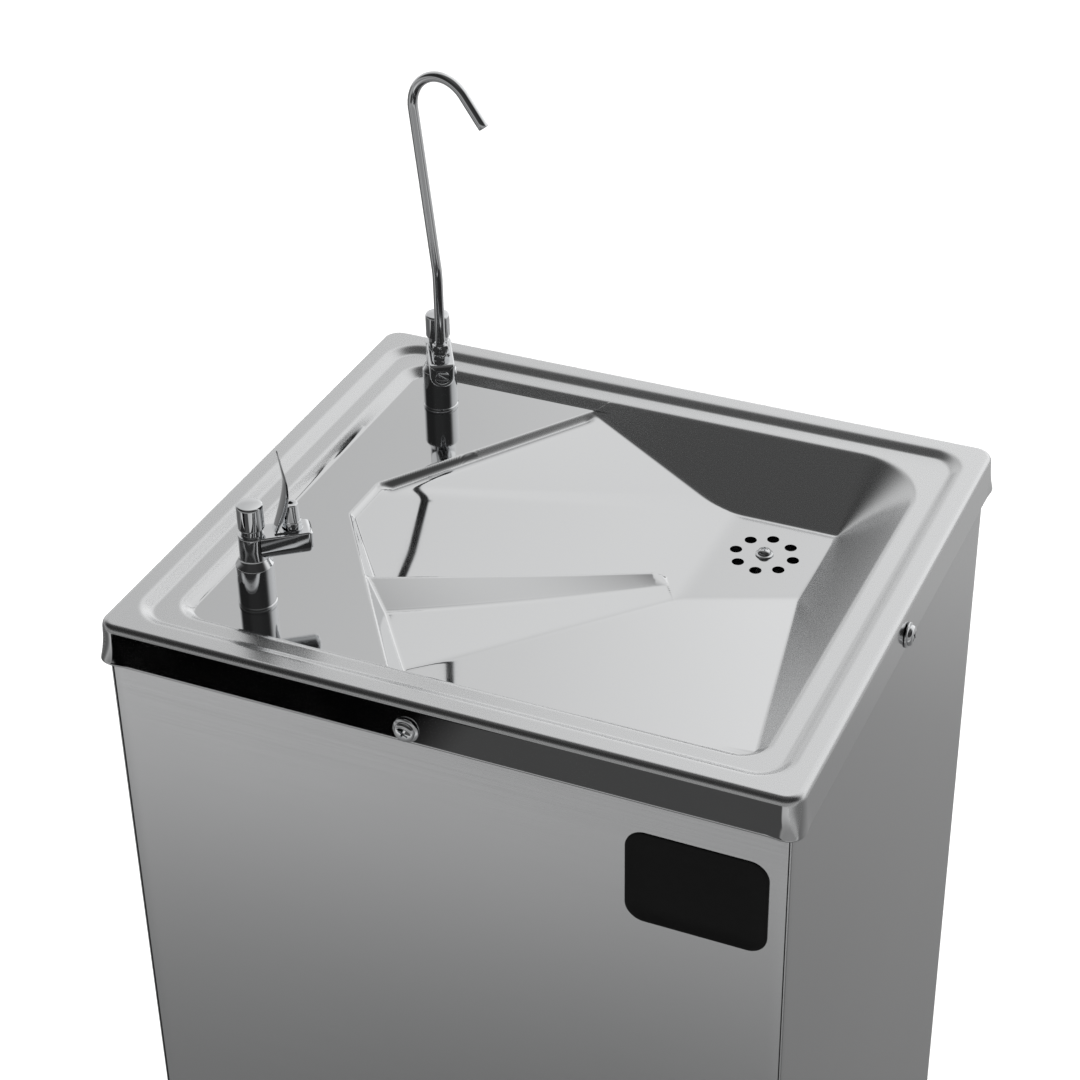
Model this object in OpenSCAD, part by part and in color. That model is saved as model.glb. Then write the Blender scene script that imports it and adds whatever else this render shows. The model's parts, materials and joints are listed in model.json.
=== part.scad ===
// Free-standing chilled drinking fountain: a pressed stainless basin with two push-button taps
// on a sheet-metal cabinet that holds a small refrigeration and filter system.
// Millimetres. +Z up, front faces -Y. Origin: centre of the cabinet footprint on the floor.

/* [Cabinet] */
// Width of the basin top over its skirt
lid_w = 335; // [330:1:345]
// Depth of the basin top over its skirt
lid_d = 300; // [296:1:306]
// Height of the rim above the floor
rim_z = 960; // [940:5:980]
// Height of the basin skirt
skirt_h = 21; // [19:1:24]
// How far the cabinet walls stand back under the skirt
overhang = 4.5; // [4:0.5:5]
// Sheet thickness
sheet = 0.8; // [0.7:0.1:1.0]
// Height of the rubber feet
foot_h = 20; // [18:1:24]

/* [Basin] */
// Drop from the rim to the ledge
ledge_drop = 3; // [2.5:0.5:3.5]
// Drop from the rim to the flat deck that carries the taps
deck_drop = 7; // [6:0.5:8]
// Drop from the rim to the drain flat
drain_drop = 30; // [28:1:32]
// Pitch circle of the drain holes
drain_pcd = 28; // [28:1:32]
// Diameter of one drain hole
drain_hole = 6; // [5:0.5:6.5]

/* [Taps] */
// Distance of both tap axes left of the centre
tap_x = 112; // [108:1:114]
// Distance of each tap axis in front of and behind the centre
tap_y = 97; // [94:1:99]
// Diameter of the tap body
tap_d = 17.5; // [17:0.5:19]
// Direction of the jet tap's arm, degrees from +X
jet_dir = 37; // [25:1:50]
// Direction of the filler tap's arm, degrees from +X
filler_dir = -60; // [-75:1:-50]
// Direction in which the gooseneck outlet points, degrees from +X
spout_dir = -12; // [-30:1:10]
// Travel of each push button
press = 3; // [2:0.5:3.5]
// Outside diameter of the gooseneck tube
spout_d = 5; // [4.5:0.5:5.5]

/* [Hidden] */
$fn = 64;

H = rim_z;
hw = lid_w / 2;            // half width of the top
hd = lid_d / 2;            // half depth of the top
cw = hw - overhang;        // outer faces of the side walls
cd = hd - overhang;        // outer faces of the front and rear walls
deck = H - deck_drop;
pan = H - drain_drop;
bx = hw - 31;              // bowl half width at deck level
by = hd - 30;              // bowl half depth at deck level
dx = bx - 58.2;            // drain centre
dy = by - 59.7;
st = 1.0;                  // sheet thickness of the pressed bowl
steel = [0.80, 0.81, 0.82];
chrome = [0.86, 0.87, 0.88];
copper = [0.78, 0.47, 0.30];

// ---------- helpers ----------
module rrect(w, d, r) {
  union() {
    square([w - 2 * r, d], center = true);
    square([w, d - 2 * r], center = true);
    for (sx = [-1, 1], sy = [-1, 1]) translate([sx * (w / 2 - r), sy * (d / 2 - r)]) circle(r);
  }
}
module slab(w, d, r, z0, z1) { translate([0, 0, z0]) linear_extrude(z1 - z0) rrect(w, d, r); }
module box(x0, x1, y0, y1, z0, z1) { translate([x0, y0, z0]) cube([x1 - x0, y1 - y0, z1 - z0]); }
module cyl(r, z0, z1) { translate([0, 0, z0]) cylinder(r = r, h = z1 - z0); }
module along_y(x, z, r, y0, y1) { translate([x, y0, z]) rotate([-90, 0, 0]) cylinder(r = r, h = y1 - y0); }
module along_x(y, z, r, x0, x1) { translate([x0, y, z]) rotate([0, 90, 0]) cylinder(r = r, h = x1 - x0); }
module hexy(x, z, r, y0, y1) { translate([x, y0, z]) rotate([-90, 0, 0]) cylinder(r = r, h = y1 - y0, $fn = 6); }

function unit(v) = v / norm(v);
function tang(p, i) = i == 0 ? unit(p[1] - p[0]) : i == len(p) - 1 ? unit(p[i] - p[i - 1])
  : unit(unit(p[i] - p[i - 1]) + unit(p[i + 1] - p[i]));
function side0(t) = abs(t[2]) < 0.8 ? unit(cross(t, [0, 0, 1])) : unit(cross(t, [0, 1, 0]));
function carry(p, i, n) = i >= len(p) ? [] : let (t = tang(p, i), m = unit(n - (n * t) * t)) concat([m], carry(p, i + 1, m));
// round each corner of a route with a bend of radius r in k steps
function corner(a, b, c, r, k) = let (u = unit(a - b), v = unit(c - b), h = acos(u * v) / 2,
  d = min(r / tan(h), 0.48 * min(norm(a - b), norm(c - b))), q = d * tan(h), o = b + unit(u + v) * (q / sin(h)))
  [for (j = [0:k]) o + q * unit((1 - j / k) * (b + u * d - o) + (j / k) * (b + v * d - o))];
function route(p, r, k = 4) = concat([p[0]], [for (i = [1:len(p) - 2]) each corner(p[i - 1], p[i], p[i + 1], r, k)], [p[len(p) - 1]]);
function ring(p, i, n, r, s) = let (t = tang(p, i), b = cross(t, n)) [for (j = [0:s - 1]) p[i] + r * (cos(360 * j / s) * n + sin(360 * j / s) * b)];

// solid rod along a route
module rod(p, r, s = 8) {
  f = carry(p, 0, side0(tang(p, 0)));
  n = len(p);
  polyhedron(points = [for (i = [0:n - 1]) each ring(p, i, f[i], r, s)],
    faces = concat([[for (j = [0:s - 1]) j]], [[for (j = [s - 1:-1:0]) (n - 1) * s + j]],
      [for (i = [0:n - 2], j = [0:s - 1]) [i * s + j, (i + 1) * s + j, (i + 1) * s + (j + 1) % s, i * s + (j + 1) % s]]));
}
// hollow tube along a route
module hose(p, ro, ri, s = 10) {
  f = carry(p, 0, side0(tang(p, 0)));
  n = len(p);
  m = n * s;
  polyhedron(points = concat([for (i = [0:n - 1]) each ring(p, i, f[i], ro, s)], [for (i = [0:n - 1]) each ring(p, i, f[i], ri, s)]),
    faces = concat(
      [for (i = [0:n - 2], j = [0:s - 1]) [i * s + j, (i + 1) * s + j, (i + 1) * s + (j + 1) % s, i * s + (j + 1) % s]],
      [for (i = [0:n - 2], j = [0:s - 1]) [m + i * s + j, m + i * s + (j + 1) % s, m + (i + 1) * s + (j + 1) % s, m + (i + 1) * s + j]],
      [for (j = [0:s - 1]) [j, (j + 1) % s, m + (j + 1) % s, m + j]],
      [for (j = [0:s - 1]) let (a = (n - 1) * s) [a + (j + 1) % s, a + j, m + a + j, m + a + (j + 1) % s]]));
}

// ---------- pressed basin ----------
// Everything above the plane z = z0 + gx*x + gy*y
module above(z0, gx, gy) {
  translate([0, 0, z0]) rotate([0, atan(sqrt(gx * gx + gy * gy)), atan2(-gy, -gx)])
    translate([-500, -500, 0]) cube([1000, 1000, 400]);
}
module bowl_outline(e) {
  intersection() {
    polygon([[-36 - 0.5 * e, by + 2 * e], [-107 - e, 15 + 0.3 * e], [-107 - e, -15 - 0.3 * e], [-36 - 0.5 * e, -by - 2 * e],
      [bx + 2 * e, -by - 2 * e], [bx + 2 * e, by + 2 * e]]);
    rrect(2 * (bx + e), 2 * (by + e), 12 + e);
  }
}
// Hollow of the bowl: the floor falls in three shallow panels to a flat around the drain,
// the rear and right walls fall at about 37 degrees.
module bowl_space(e) {
  intersection() {
    translate([0, 0, H - 45]) linear_extrude(60) bowl_outline(e);
    translate([0, 0, H - e]) above(-9.2 - 0.13 * 107, -0.13, 0);
    translate([0, 0, H - e]) above(-7.3 - 0.06 * 136 - 0.1433 * 115, 0.06, -0.1433);
    translate([0, 0, H - e]) above(-8.7 - 0.2121 * 33 - 0.151 * 117.6, -0.2121, 0.151);
    translate([0, 0, H - drain_drop - e]) translate([-500, -500, 0]) cube([1000, 1000, 400]);
    translate([0, 0, H - deck_drop - 1.24 * e]) above(-0.734 * by, 0, 0.734);
    translate([0, 0, H - deck_drop - 1.25 * e]) above(-0.756 * bx, 0.756, 0);
  }
}
module basin_top() {
  color(steel) difference() {
    union() {
      difference() {
        slab(lid_w, lid_d, 10, H - skirt_h, H);
        difference() {
          slab(lid_w - 2 * sheet, lid_d - 2 * sheet, 9.2, H - skirt_h - 1, H - sheet);
          slab(lid_w - 28 + 2 * sheet, lid_d - 28 + 2 * sheet, 14 + sheet, H - ledge_drop - sheet, H);
          slab(lid_w - 58 + 2 * sheet, lid_d - 56 + 2 * sheet, 14 + sheet, deck - sheet, H);
        }
        slab(lid_w - 28, lid_d - 28, 14, H - ledge_drop, H + 1);
        slab(lid_w - 58, lid_d - 56, 14, deck, H + 1);
        translate([0, 0, H - 45]) linear_extrude(60) bowl_outline(0);
      }
      difference() {
        intersection() { bowl_space(st); box(-200, 200, -200, 200, H - 60, deck); }
        bowl_space(0);
      }
      // drainer rib pressed up along the fold between the two floor panels
      intersection() {
        difference() {
          translate([-74, -68, H - 40]) rotate([0, 0, 37]) linear_extrude(34)
            polygon([[0, -9], [24, -8], [90, -4.5], [138, -1.5], [144, 0], [138, 1.5], [90, 4.5], [24, 8], [0, 9]]);
          translate([0, 0, 1.6]) bowl_space(0);
        }
        bowl_space(0.4);
      }
    }
    for (s = [-1, 1]) translate([-tap_x, s * tap_y, 0]) cyl(5.3, deck - 5, deck + 5);
    translate([dx, dy, 0]) {
      cyl(2.2, pan - 5, pan + 5);
      for (a = [0:45:315]) rotate([0, 0, a]) translate([drain_pcd / 2, 0, 0]) cyl(drain_hole / 2, pan - 5, pan + 5);
    }
    for (s = [-1, 1]) along_x(0, H - 14, 2.3, s > 0 ? hw - 3 : -hw - 3, s > 0 ? hw + 3 : -hw + 3);
    for (s = [-1, 1]) along_y(-11, H - 14, 2.3, s > 0 ? hd - 3 : -hd - 3, s > 0 ? hd + 3 : -hd + 3);
  }
}

// ---------- cabinet ----------
pt = H - 2;                // top edge of the wall panels, inside the skirt
pb = foot_h - 2;           // bottom edge of the wall panels
module front_panel() {
  color(steel) difference() {
    union() {
      box(-cw + sheet + 0.3, cw - sheet - 0.3, -cd, -cd + sheet, pb, pt);
      for (s = [-1, 1]) {
        x = s * (cw - sheet - 0.3 - sheet / 2);
        box(x - sheet / 2, x + sheet / 2, -cd + sheet / 2, -cd + 15, foot_h + 34, pt - 20);
      }
      box(-cw + 12, cw - 12, -cd + sheet / 2, -cd + 12, pb, pb + sheet);
    }
    along_y(-11, H - 14, 2.1, -cd - 2, -cd + 3);
  }
}
module side_panel(s) {
  color(steel) difference() {
    union() {
      box(s > 0 ? cw - sheet : -cw, s > 0 ? cw : -cw + sheet, -cd, cd, pb, pt);
      box(s > 0 ? cw - 16 : -cw, s > 0 ? cw : -cw + 16, cd - sheet, cd, pb, pt);
    }
    along_x(0, H - 14, 2.1, s > 0 ? cw - 3 : -cw - 3, s > 0 ? cw + 3 : -cw + 3);
    for (y = [-100, 100]) along_x(y, foot_h + 16, 2.1, s > 0 ? cw - 3 : -cw - 3, s > 0 ? cw + 3 : -cw + 3);
    for (z = [100, 480, 860]) along_y(s * (cw - 9), z, 1.9, cd - 3, cd + 3);
  }
}
module left_side_panel() { side_panel(-1); }
module right_side_panel() { side_panel(1); }
lz = [for (k = [0:13]) 560 + 22 * k];
pkt = [30, 145.2, 52, 172];   // recess for the rear connections: x0, x1, z0, z1
cr = cd - 26 - sheet;         // inner face of the recess plate
module rear_panel() {
  color(steel) difference() {
    union() {
      box(-cw + 3, cw - 3, cd, cd + sheet, 40, H - 12);
      box(pkt[0] - sheet, pkt[1] + sheet, cr, cd + sheet / 2, pkt[2] - sheet, pkt[3] + sheet);
    }
    box(pkt[0], pkt[1], cr + sheet, cd + sheet + 1, pkt[2], pkt[3]);
    for (z = lz, x = [-90, 0, 90]) box(x - 35, x + 35, cd - 2, cd + 3, z - 1.6, z + 1.6);
    for (k = [0:5], x = [-90, -10]) box(x - 35, x + 35, cd - 2, cd + 3, 110 + 20 * k - 1.6, 110 + 20 * k + 1.6);
    for (s = [-1, 1], z = [100, 480, 860]) along_y(s * (cw - 9), z, 1.9, cd - 3, cd + 3);
    along_y(-11, H - 14, 2.3, cd - 3, cd + 3);
    along_y(drain_out[0], drain_out[1], 9.1, cr - 3, cr + 3);
    along_y(inlet[0], inlet[1], 8.1, cr - 3, cr + 3);
    along_y(gland[0], gland[1], 8.1, cr - 3, cr + 3);
    along_y(stat[0], stat[1], 4, cd - 3, cd + 3);
  }
}
ty = foot_h;               // underside of the base tray
feet = [for (x = [-1, 1], y = [-1, 1]) [x * 132, y * 115]];
comp = [-62, 30];          // compressor axis
grom = [for (x = [-1, 1], y = [-1, 1]) [comp[0] + x * 68, comp[1] + y * 46]];
module base_tray() {
  color([0.62, 0.63, 0.64]) difference() {
    box(-cw + sheet + 0.2, cw - sheet - 0.2, -cd + sheet + 0.4, cd - sheet - 0.2, ty, ty + 30);
    box(-cw + sheet + 1.4, cw - sheet - 1.4, -cd + sheet + 1.6, cd - sheet - 1.4, ty + 1.2, ty + 31);
    for (p = feet) translate([p[0], p[1], 0]) cyl(3.2, ty - 1, ty + 3);
    for (p = grom) translate([p[0], p[1], 0]) cyl(3.2, ty - 1, ty + 3);
    for (s = [-1, 1], y = [-100, 100]) along_x(y, ty + 16, 1.7, s > 0 ? cw - 4 : -cw - 1, s > 0 ? cw + 1 : -cw + 4);
    box(-60, 60, cd - 4, cd + 1, ty + 21, ty + 32);
    box(-20, 120, cd - 4, cd + 1, ty + 12, ty + 32);
  }
}
module rubber_feet() {
  color([0.09, 0.09, 0.09]) for (p = feet) translate([p[0], p[1], 0]) difference() {
    union() { cylinder(r1 = 17, r2 = 19, h = 4); cyl(19, 4, foot_h - 3); translate([0, 0, foot_h - 3]) cylinder(r1 = 19, r2 = 17, h = 3); }
    cyl(7.5, -1, 7);
    cyl(3.2, 5, foot_h + 1);
  }
}
module base_bolts() {
  color([0.7, 0.7, 0.68]) for (p = feet) translate([p[0], p[1], 0]) union() {
    translate([0, 0, 3]) cylinder(r = 5.8, h = 4, $fn = 6);
    cyl(3, 6, ty + 10);
    translate([0, 0, ty + 1.2]) cylinder(r = 5.8, h = 5, $fn = 6);
  }
  color([0.7, 0.7, 0.68]) for (p = grom) translate([p[0], p[1], 0]) union() {
    translate([0, 0, ty - 4]) cylinder(r = 5.8, h = 4, $fn = 6);
    cyl(3, ty - 0.1, cz + 12);
    cyl(8.5, cz + 4, cz + 5.2);
    translate([0, 0, cz + 5.2]) cylinder(r = 5.8, h = 5, $fn = 6);
  }
}
// cross-recessed pan head screw with a flange, pointing along +Z into the sheet
module pan_screw(r, l, fl) {
  difference() {
    union() {
      translate([0, 0, -1]) cylinder(r = fl, h = 1);
      translate([0, 0, -2.4]) cylinder(r = r, h = 1.8);
      translate([0, 0, -3.4]) cylinder(r1 = r - 1.3, r2 = r, h = 1.001);
      cyl(1.6, -1, l);
    }
    for (a = [0, 90]) rotate([0, 0, a]) translate([-2.6, -0.45, -4]) cube([5.2, 0.9, 2.4]);
  }
}
module skirt_screws() {
  color(chrome) {
    translate([-11, -hd, H - 14]) rotate([-90, 0, 0]) rotate([0, 0, 20]) pan_screw(4.9, 12, 6.1);
    translate([-11, hd, H - 14]) rotate([90, 0, 0]) pan_screw(4.9, 12, 6.1);
    translate([hw, 0, H - 14]) rotate([0, -90, 0]) rotate([0, 0, 35]) pan_screw(4.9, 12, 6.1);
    translate([-hw, 0, H - 14]) rotate([0, 90, 0]) pan_screw(4.9, 12, 6.1);
  }
}
module panel_screws() {
  color(chrome) {
    for (s = [-1, 1], z = [100, 480, 860]) translate([s * (cw - 9), cd + sheet, z]) rotate([90, 0, 0]) rotate([0, 0, z / 7]) pan_screw(3.4, 8, 3.6);
    for (s = [-1, 1], y = [-100, 100]) translate([s * cw, y, foot_h + 16]) rotate([0, -90 * s, 0]) pan_screw(3.4, 8, 3.6);
  }
}
module front_label() {
  color([0.03, 0.03, 0.03]) translate([121, -cd, H - 65]) rotate([90, 0, 0]) linear_extrude(0.5) rrect(62, 44, 9);
}

// ---------- drain ----------
module drain_screw() {
  color(chrome) translate([dx, dy, pan]) difference() {
    union() {
      cyl(3.9, 0, 0.8);
      intersection() { translate([0, 0, -0.6]) sphere(r = 4.2); cyl(3.4, 0, 4); }
      cyl(1.9, -24, 0.5);
    }
    translate([-2, -0.4, 2.6]) cube([4, 0.8, 2]);
    translate([-0.4, -2, 2.6]) cube([0.8, 4, 2]);
  }
}
module drain_gasket() {
  color([0.1, 0.1, 0.1]) translate([dx, dy, pan - st]) difference() { cyl(24, -1.5, 0); cyl(20.5, -2, 1); }
}
cup_z = pan - st - 1.5;
module drain_cup() {
  color([0.88, 0.88, 0.86]) translate([dx, dy, cup_z]) difference() {
    union() {
      difference() {
        union() {
          cyl(24, -2, 0);
          translate([0, 0, -26]) cylinder(r1 = 8, r2 = 22, h = 24.01);
          cyl(8, -48, -25.9);
        }
        translate([0, 0, -24.5]) cylinder(r1 = 6.2, r2 = 20.4, h = 24.6);
        cyl(6.2, -50, -24);
      }
      intersection() {
        for (a = [0, 60, 120]) rotate([0, 0, a]) translate([-22, -0.9, -20]) cube([44, 1.8, 9]);
        translate([0, 0, -26]) cylinder(r1 = 8, r2 = 22, h = 24);
      }
      cyl(4.2, -22, -8);
    }
    cyl(1.94, -23, 0);
  }
}
drain_out = [126, 74];
inlet = [122, 148];
gland = [52, 78];
stat = [70, 240];
module drain_hose() {
  color([0.75, 0.78, 0.80]) hose(route([[dx, dy, cup_z - 30], [dx, dy, cup_z - 68], [126, 56, cup_z - 105], [126, 56, drain_out[1]], [126, cr - 16, drain_out[1]]], 30, 5), 10.4, 8.3, 12);
}
module drain_outlet() {
  color([0.25, 0.25, 0.26]) difference() {
    union() {
      along_y(drain_out[0], drain_out[1], 8, cr - 30, cr + sheet + 1);
      along_y(drain_out[0], drain_out[1], 15, cr - 4, cr);
      along_y(drain_out[0], drain_out[1], 15, cr + sheet, cr + sheet + 3);
      along_y(drain_out[0], drain_out[1], 9, cr - 1, cr + sheet + 22);
    }
    along_y(drain_out[0], drain_out[1], 6.2, cr - 31, cr + sheet + 23);
  }
}

// ---------- taps ----------
// Local frame: Z = 0 on the deck, arm along +X
arm_x = 17.6;              // outlet position on the filler arm
jet_x = 18.4;              // outlet position on the jet arm
arm_l = 27;                // arm length from the tap axis
arm_z = 30.6;              // height of the arm's bore
arm_t = 37.1;              // flat top of the arm, level with the neck
tr = tap_d / 2;
module tap_casting(ox) {
  difference() {
    union() {
      cyl(tr, 0, 21.6);
      translate([0, 0, 21.6]) cylinder(r1 = tr, r2 = 7.0, h = 3.2);
      cyl(6.5, 24, arm_t);
      cyl(5, 36, 42);
      // arm with a round underside and a short tapered end
      translate([0, 0, arm_z]) rotate([0, 90, 0]) cylinder(r = 6.2, h = arm_l - 1.5);
      translate([arm_l - 1.5, 0, arm_z]) rotate([0, 90, 0]) cylinder(r1 = 6.2, r2 = 5.2, h = 1.5);
      translate([0, -5.9, arm_z]) cube([arm_l - 1.5, 11.8, arm_t - arm_z]);
      // threaded shank through the deck and hose tail
      cyl(5, -34, 0.1);
      cyl(3.4, -46, -33.9);
    }
    cyl(2.2, -47, -4);                 // feed bore
    cyl(4.2, -4, 33);                  // valve chamber
    cyl(2.05, 32, 43);                 // stem guide
    translate([0, 0, arm_z]) rotate([0, 90, 0]) cylinder(r = 1.4, h = 21);
    translate([ox, 0, 0]) cyl(1.4, arm_z, arm_t);
    translate([ox, 0, 0]) cyl(2.55, 33, arm_t + 1);
    translate([21.5, 0, arm_z]) rotate([0, 90, 0]) cylinder(r = 3.55, h = 8);   // regulator bore
  }
}
// groove-free push cap sliding over the collar
module tap_cap() {
  difference() {
    union() { cyl(6.15, 40.4, 52.6); translate([0, 0, 52.59]) cylinder(r1 = 6.15, r2 = 5.4, h = 0.9); }
    cyl(5.3, 39, 46.2);
    cyl(2, 46, 50);
  }
}
module tap_stem() {
  union() { cyl(2, 10, 50); cyl(3.5, 10, 12); }
}
module tap_spring() {
  rod([for (k = [0:66]) let (a = 360 * k / 12, z = -3.6 + 13.2 * k / 66) [3.2 * cos(a), 3.2 * sin(a), z]], 0.4, 6);
}
module regulator() {
  difference() {
    translate([21.7, 0, arm_z]) rotate([0, 90, 0]) cylinder(r = 3.5, h = 5.5);
    translate([26.4, -0.5, arm_z - 5]) cube([2, 1, 10]);
  }
}
module at_jet() { translate([-tap_x, -tap_y, deck]) rotate([0, 0, jet_dir]) children(); }
module at_filler() { translate([-tap_x, tap_y, deck]) rotate([0, 0, filler_dir]) children(); }
module jet_tap_body() { color(chrome) at_jet() tap_casting(jet_x); }
module jet_tap_button() { color(chrome) at_jet() tap_cap(); }
module jet_tap_stem() { color([0.75, 0.65, 0.35]) at_jet() tap_stem(); }
module jet_tap_spring() { color([0.6, 0.6, 0.62]) at_jet() tap_spring(); }
module jet_tap_regulator() { color(chrome) at_jet() regulator(); }
module filler_tap_body() { color(chrome) at_filler() tap_casting(arm_x); }
module filler_tap_button() { color(chrome) at_filler() tap_cap(); }
module filler_tap_stem() { color([0.75, 0.65, 0.35]) at_filler() tap_stem(); }
module filler_tap_spring() { color([0.6, 0.6, 0.62]) at_filler() tap_spring(); }
module filler_tap_regulator() { color(chrome) at_filler() regulator(); }
module jet_nozzle() {
  color(chrome) at_jet() translate([jet_x, 0, arm_t]) difference() {
    union() {
      cyl(2.5, -4, 1);
      translate([0, 0, 0.8]) cylinder(r = 4.6, h = 3.4, $fn = 6);
      translate([0, 0, 4.1]) cylinder(r1 = 3.9, r2 = 3.35, h = 9.4);
      translate([0, 0, 13.49]) cylinder(r1 = 3.35, r2 = 2.7, h = 0.7);
    }
    cyl(1.15, -5, 20);
  }
}
// tall pointed shield behind the jet, clamped under the nozzle
module mouth_guard() {
  color(chrome) at_jet() union() {
    difference() {
      translate([jet_x, 0, arm_t]) union() { cyl(4.9, 0, 0.8); translate([-8.2, -4.2, 0]) cube([8.2, 8.4, 0.8]); }
      translate([jet_x, 0, arm_t]) cyl(2.6, -1, 2);
    }
    intersection() {
      // leaf cut from a large tube so that it bulges away from the button and curls back at the tip
      translate([-41.2, 0, arm_t + 25]) rotate([90, 0, 0]) difference() { cyl(57, -12, 12); cyl(56.2, -13, 13); }
      translate([9, 0, arm_t + 0.01]) rotate([90, 0, 90]) linear_extrude(9)
        polygon([[-4.2, 0], [4.2, 0], [6.6, 6], [8.2, 14], [8.0, 22], [6.2, 31], [3.2, 38], [0.6, 41.2], [-0.6, 41.2], [-3.2, 38], [-6.2, 31], [-8.0, 22], [-8.2, 14], [-6.6, 6]]);
    }
  }
}
// gooseneck: upright tube, slight backward lean, tight hook, straight outlet
sr = spout_d / 2;
g_lean = 7;                // backward lean of the upper tube
g_z = 80;                  // height above the deck where the lean begins
g_len = 82.5;              // straight length of the leaning tube
g_hook = 147;              // turn of the hook
g_r1 = 60;
g_r2 = 17.5;
// centre line of the gooseneck in its own vertical plane: upright, lean, hook, outlet
g_top = [-g_r1 + g_r1 * cos(g_lean) - g_len * sin(g_lean), g_z + g_r1 * sin(g_lean) + g_len * cos(g_lean)];
g_mid = g_top + g_r2 * [cos(g_lean), sin(g_lean)];
function g_arc(t) = g_mid + g_r2 * [-cos(t), sin(t)];
function g_line() = concat([[0, 33.5], [0, g_z]],
  [for (a = [g_lean / 3:g_lean / 3:g_lean + 0.01]) [-g_r1 + g_r1 * cos(a), g_z + g_r1 * sin(a)]],
  [for (k = [0:16]) g_arc(-g_lean + k * g_hook / 16)],
  [g_arc(g_hook - g_lean) + 17.5 * [sin(g_hook - g_lean), cos(g_hook - g_lean)]]);
module at_spout() { at_filler() translate([arm_x, 0, 0]) rotate([0, 0, spout_dir - filler_dir]) children(); }
module gooseneck_spout() {
  color(chrome) at_spout() hose([for (q = g_line()) [q[0], 0, q[1]]], sr, sr - 0.8, 20);
}
module spout_nut() {
  color(chrome) at_filler() translate([arm_x, 0, arm_t]) difference() {
    union() {
      cylinder(r = 4.9, h = 3.2, $fn = 6);
      cyl(4.0, 3.1, 4.6);
      translate([0, 0, 4.5]) cylinder(r = 4.7, h = 3.6, $fn = 6);
    }
    cyl(sr + 0.06, -1, 12);
  }
}
module tap_washers() {
  color([0.1, 0.1, 0.1]) for (s = [-1, 1]) translate([-tap_x, s * tap_y, deck - sheet]) difference() { cyl(11, -2.5, 0); cyl(5.1, -3, 1); }
}
module tap_locknuts() {
  color([0.72, 0.62, 0.36]) for (s = [-1, 1]) translate([-tap_x, s * tap_y, deck - sheet - 2.5]) difference() {
    union() { cyl(10, -1, 0); translate([0, 0, -6]) cylinder(r = 9.4, h = 5.01, $fn = 6); }
    cyl(5.04, -7, 1);
  }
}

// ---------- chilled tank ----------
tk = [-15, -10];           // tank axis
iz0 = 512;                 // insulation bottom
iz1 = 842;                 // insulation top
module tank_shelf() {
  color([0.62, 0.63, 0.64]) difference() {
    union() {
      box(-cw + sheet + 0.2, cw - sheet - 0.2, -cd + 16, 96, iz0 - 2, iz0);
      for (s = [-1, 1]) { x = s * (cw - sheet - 0.8); box(x - 0.6, x + 0.6, -cd + 16, 96, iz0 - 26, iz0 - 1); }
      box(-cw + 3, cw - 3, -cd + 16, -cd + 17.2, iz0 - 26, iz0 - 1);
    }
    translate([126, 56, 0]) cyl(13, iz0 - 5, iz0 + 5);
    translate([15, tk[1], 0]) cyl(6, iz0 - 5, iz0 + 5);
    box(-cw + 6, -cw + 46, -50, 30, iz0 - 5, iz0 + 5);
    box(100, 116, -30, 30, iz0 - 5, iz0 + 5);
  }
}
module cold_tank() {
  color(steel) translate([tk[0], tk[1], 0]) difference() {
    union() {
      cyl(52, 566, 806);
      translate([0, 0, 552]) cylinder(r1 = 34, r2 = 52, h = 14.01);
      translate([0, 0, 805.99]) cylinder(r1 = 52, r2 = 34, h = 14);
      translate([30, 0, 0]) cyl(4.5, 538, 560);
      cyl(4.5, 815, 834);
    }
    cyl(51, 567, 805);
    translate([0, 0, 553]) cylinder(r1 = 33, r2 = 51, h = 14.01);
    translate([0, 0, 804.99]) cylinder(r1 = 51, r2 = 33, h = 14);
    translate([30, 0, 0]) cyl(3.3, 537, 580);
    cyl(3.3, 800, 835);
  }
}
module evaporator_coil() {
  color(copper) translate([tk[0], tk[1], 0]) rod([for (k = [0:192]) let (a = 180 + 360 * k / 16) [57.8 * cos(a), 57.8 * sin(a), 585 + 215 * k / 192]], 3.8, 6);
}
module insulation(s) {
  color([0.93, 0.94, 0.95]) difference() {
    box(-105, 75, s < 0 ? -100 : tk[1] + 0.1, s < 0 ? tk[1] - 0.1 : 80, iz0, iz1);
    translate([tk[0], tk[1], 0]) { cyl(62.5, 545, 822); cyl(6.5, 800, iz1 + 1); translate([30, 0, 0]) cyl(6.5, iz0 - 1, 560); }
    for (z = [585, 800]) along_x(tk[1], z, 5, -106, tk[0] - 50);
    along_x(tk[1], 700, 2, tk[0] + 50, 76);
  }
}
module insulation_front() { insulation(-1); }
module insulation_rear() { insulation(1); }

// ---------- refrigeration ----------
cz = ty + 19;              // underside of the compressor
module compressor_shell() {
  color([0.06, 0.06, 0.07]) translate([comp[0], comp[1], cz]) union() {
    cylinder(r1 = 58, r2 = 70, h = 18);
    cyl(70, 17.9, 78);
    cyl(72.5, 78, 84);
    cyl(70, 83.9, 122);
    translate([0, 0, 121.9]) cylinder(r1 = 70, r2 = 50, h = 26);
    translate([0, 0, 147.8]) cylinder(r1 = 50, r2 = 22, h = 12);
  }
}
module compressor_base_plate() {
  color([0.08, 0.08, 0.09]) difference() {
    translate([comp[0], comp[1], cz - 3]) linear_extrude(3) rrect(164, 118, 12);
    for (p = grom) translate([p[0], p[1], 0]) cyl(6.2, cz - 4, cz + 1);
  }
}
module compressor_grommets() {
  color([0.12, 0.12, 0.12]) for (p = grom) translate([p[0], p[1], 0]) difference() {
    union() { cyl(11, ty + 1.2, cz - 3); cyl(6, cz - 4, cz + 1); cyl(9, cz, cz + 4); }
    cyl(3.1, ty, cz + 5);
  }
}
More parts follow.
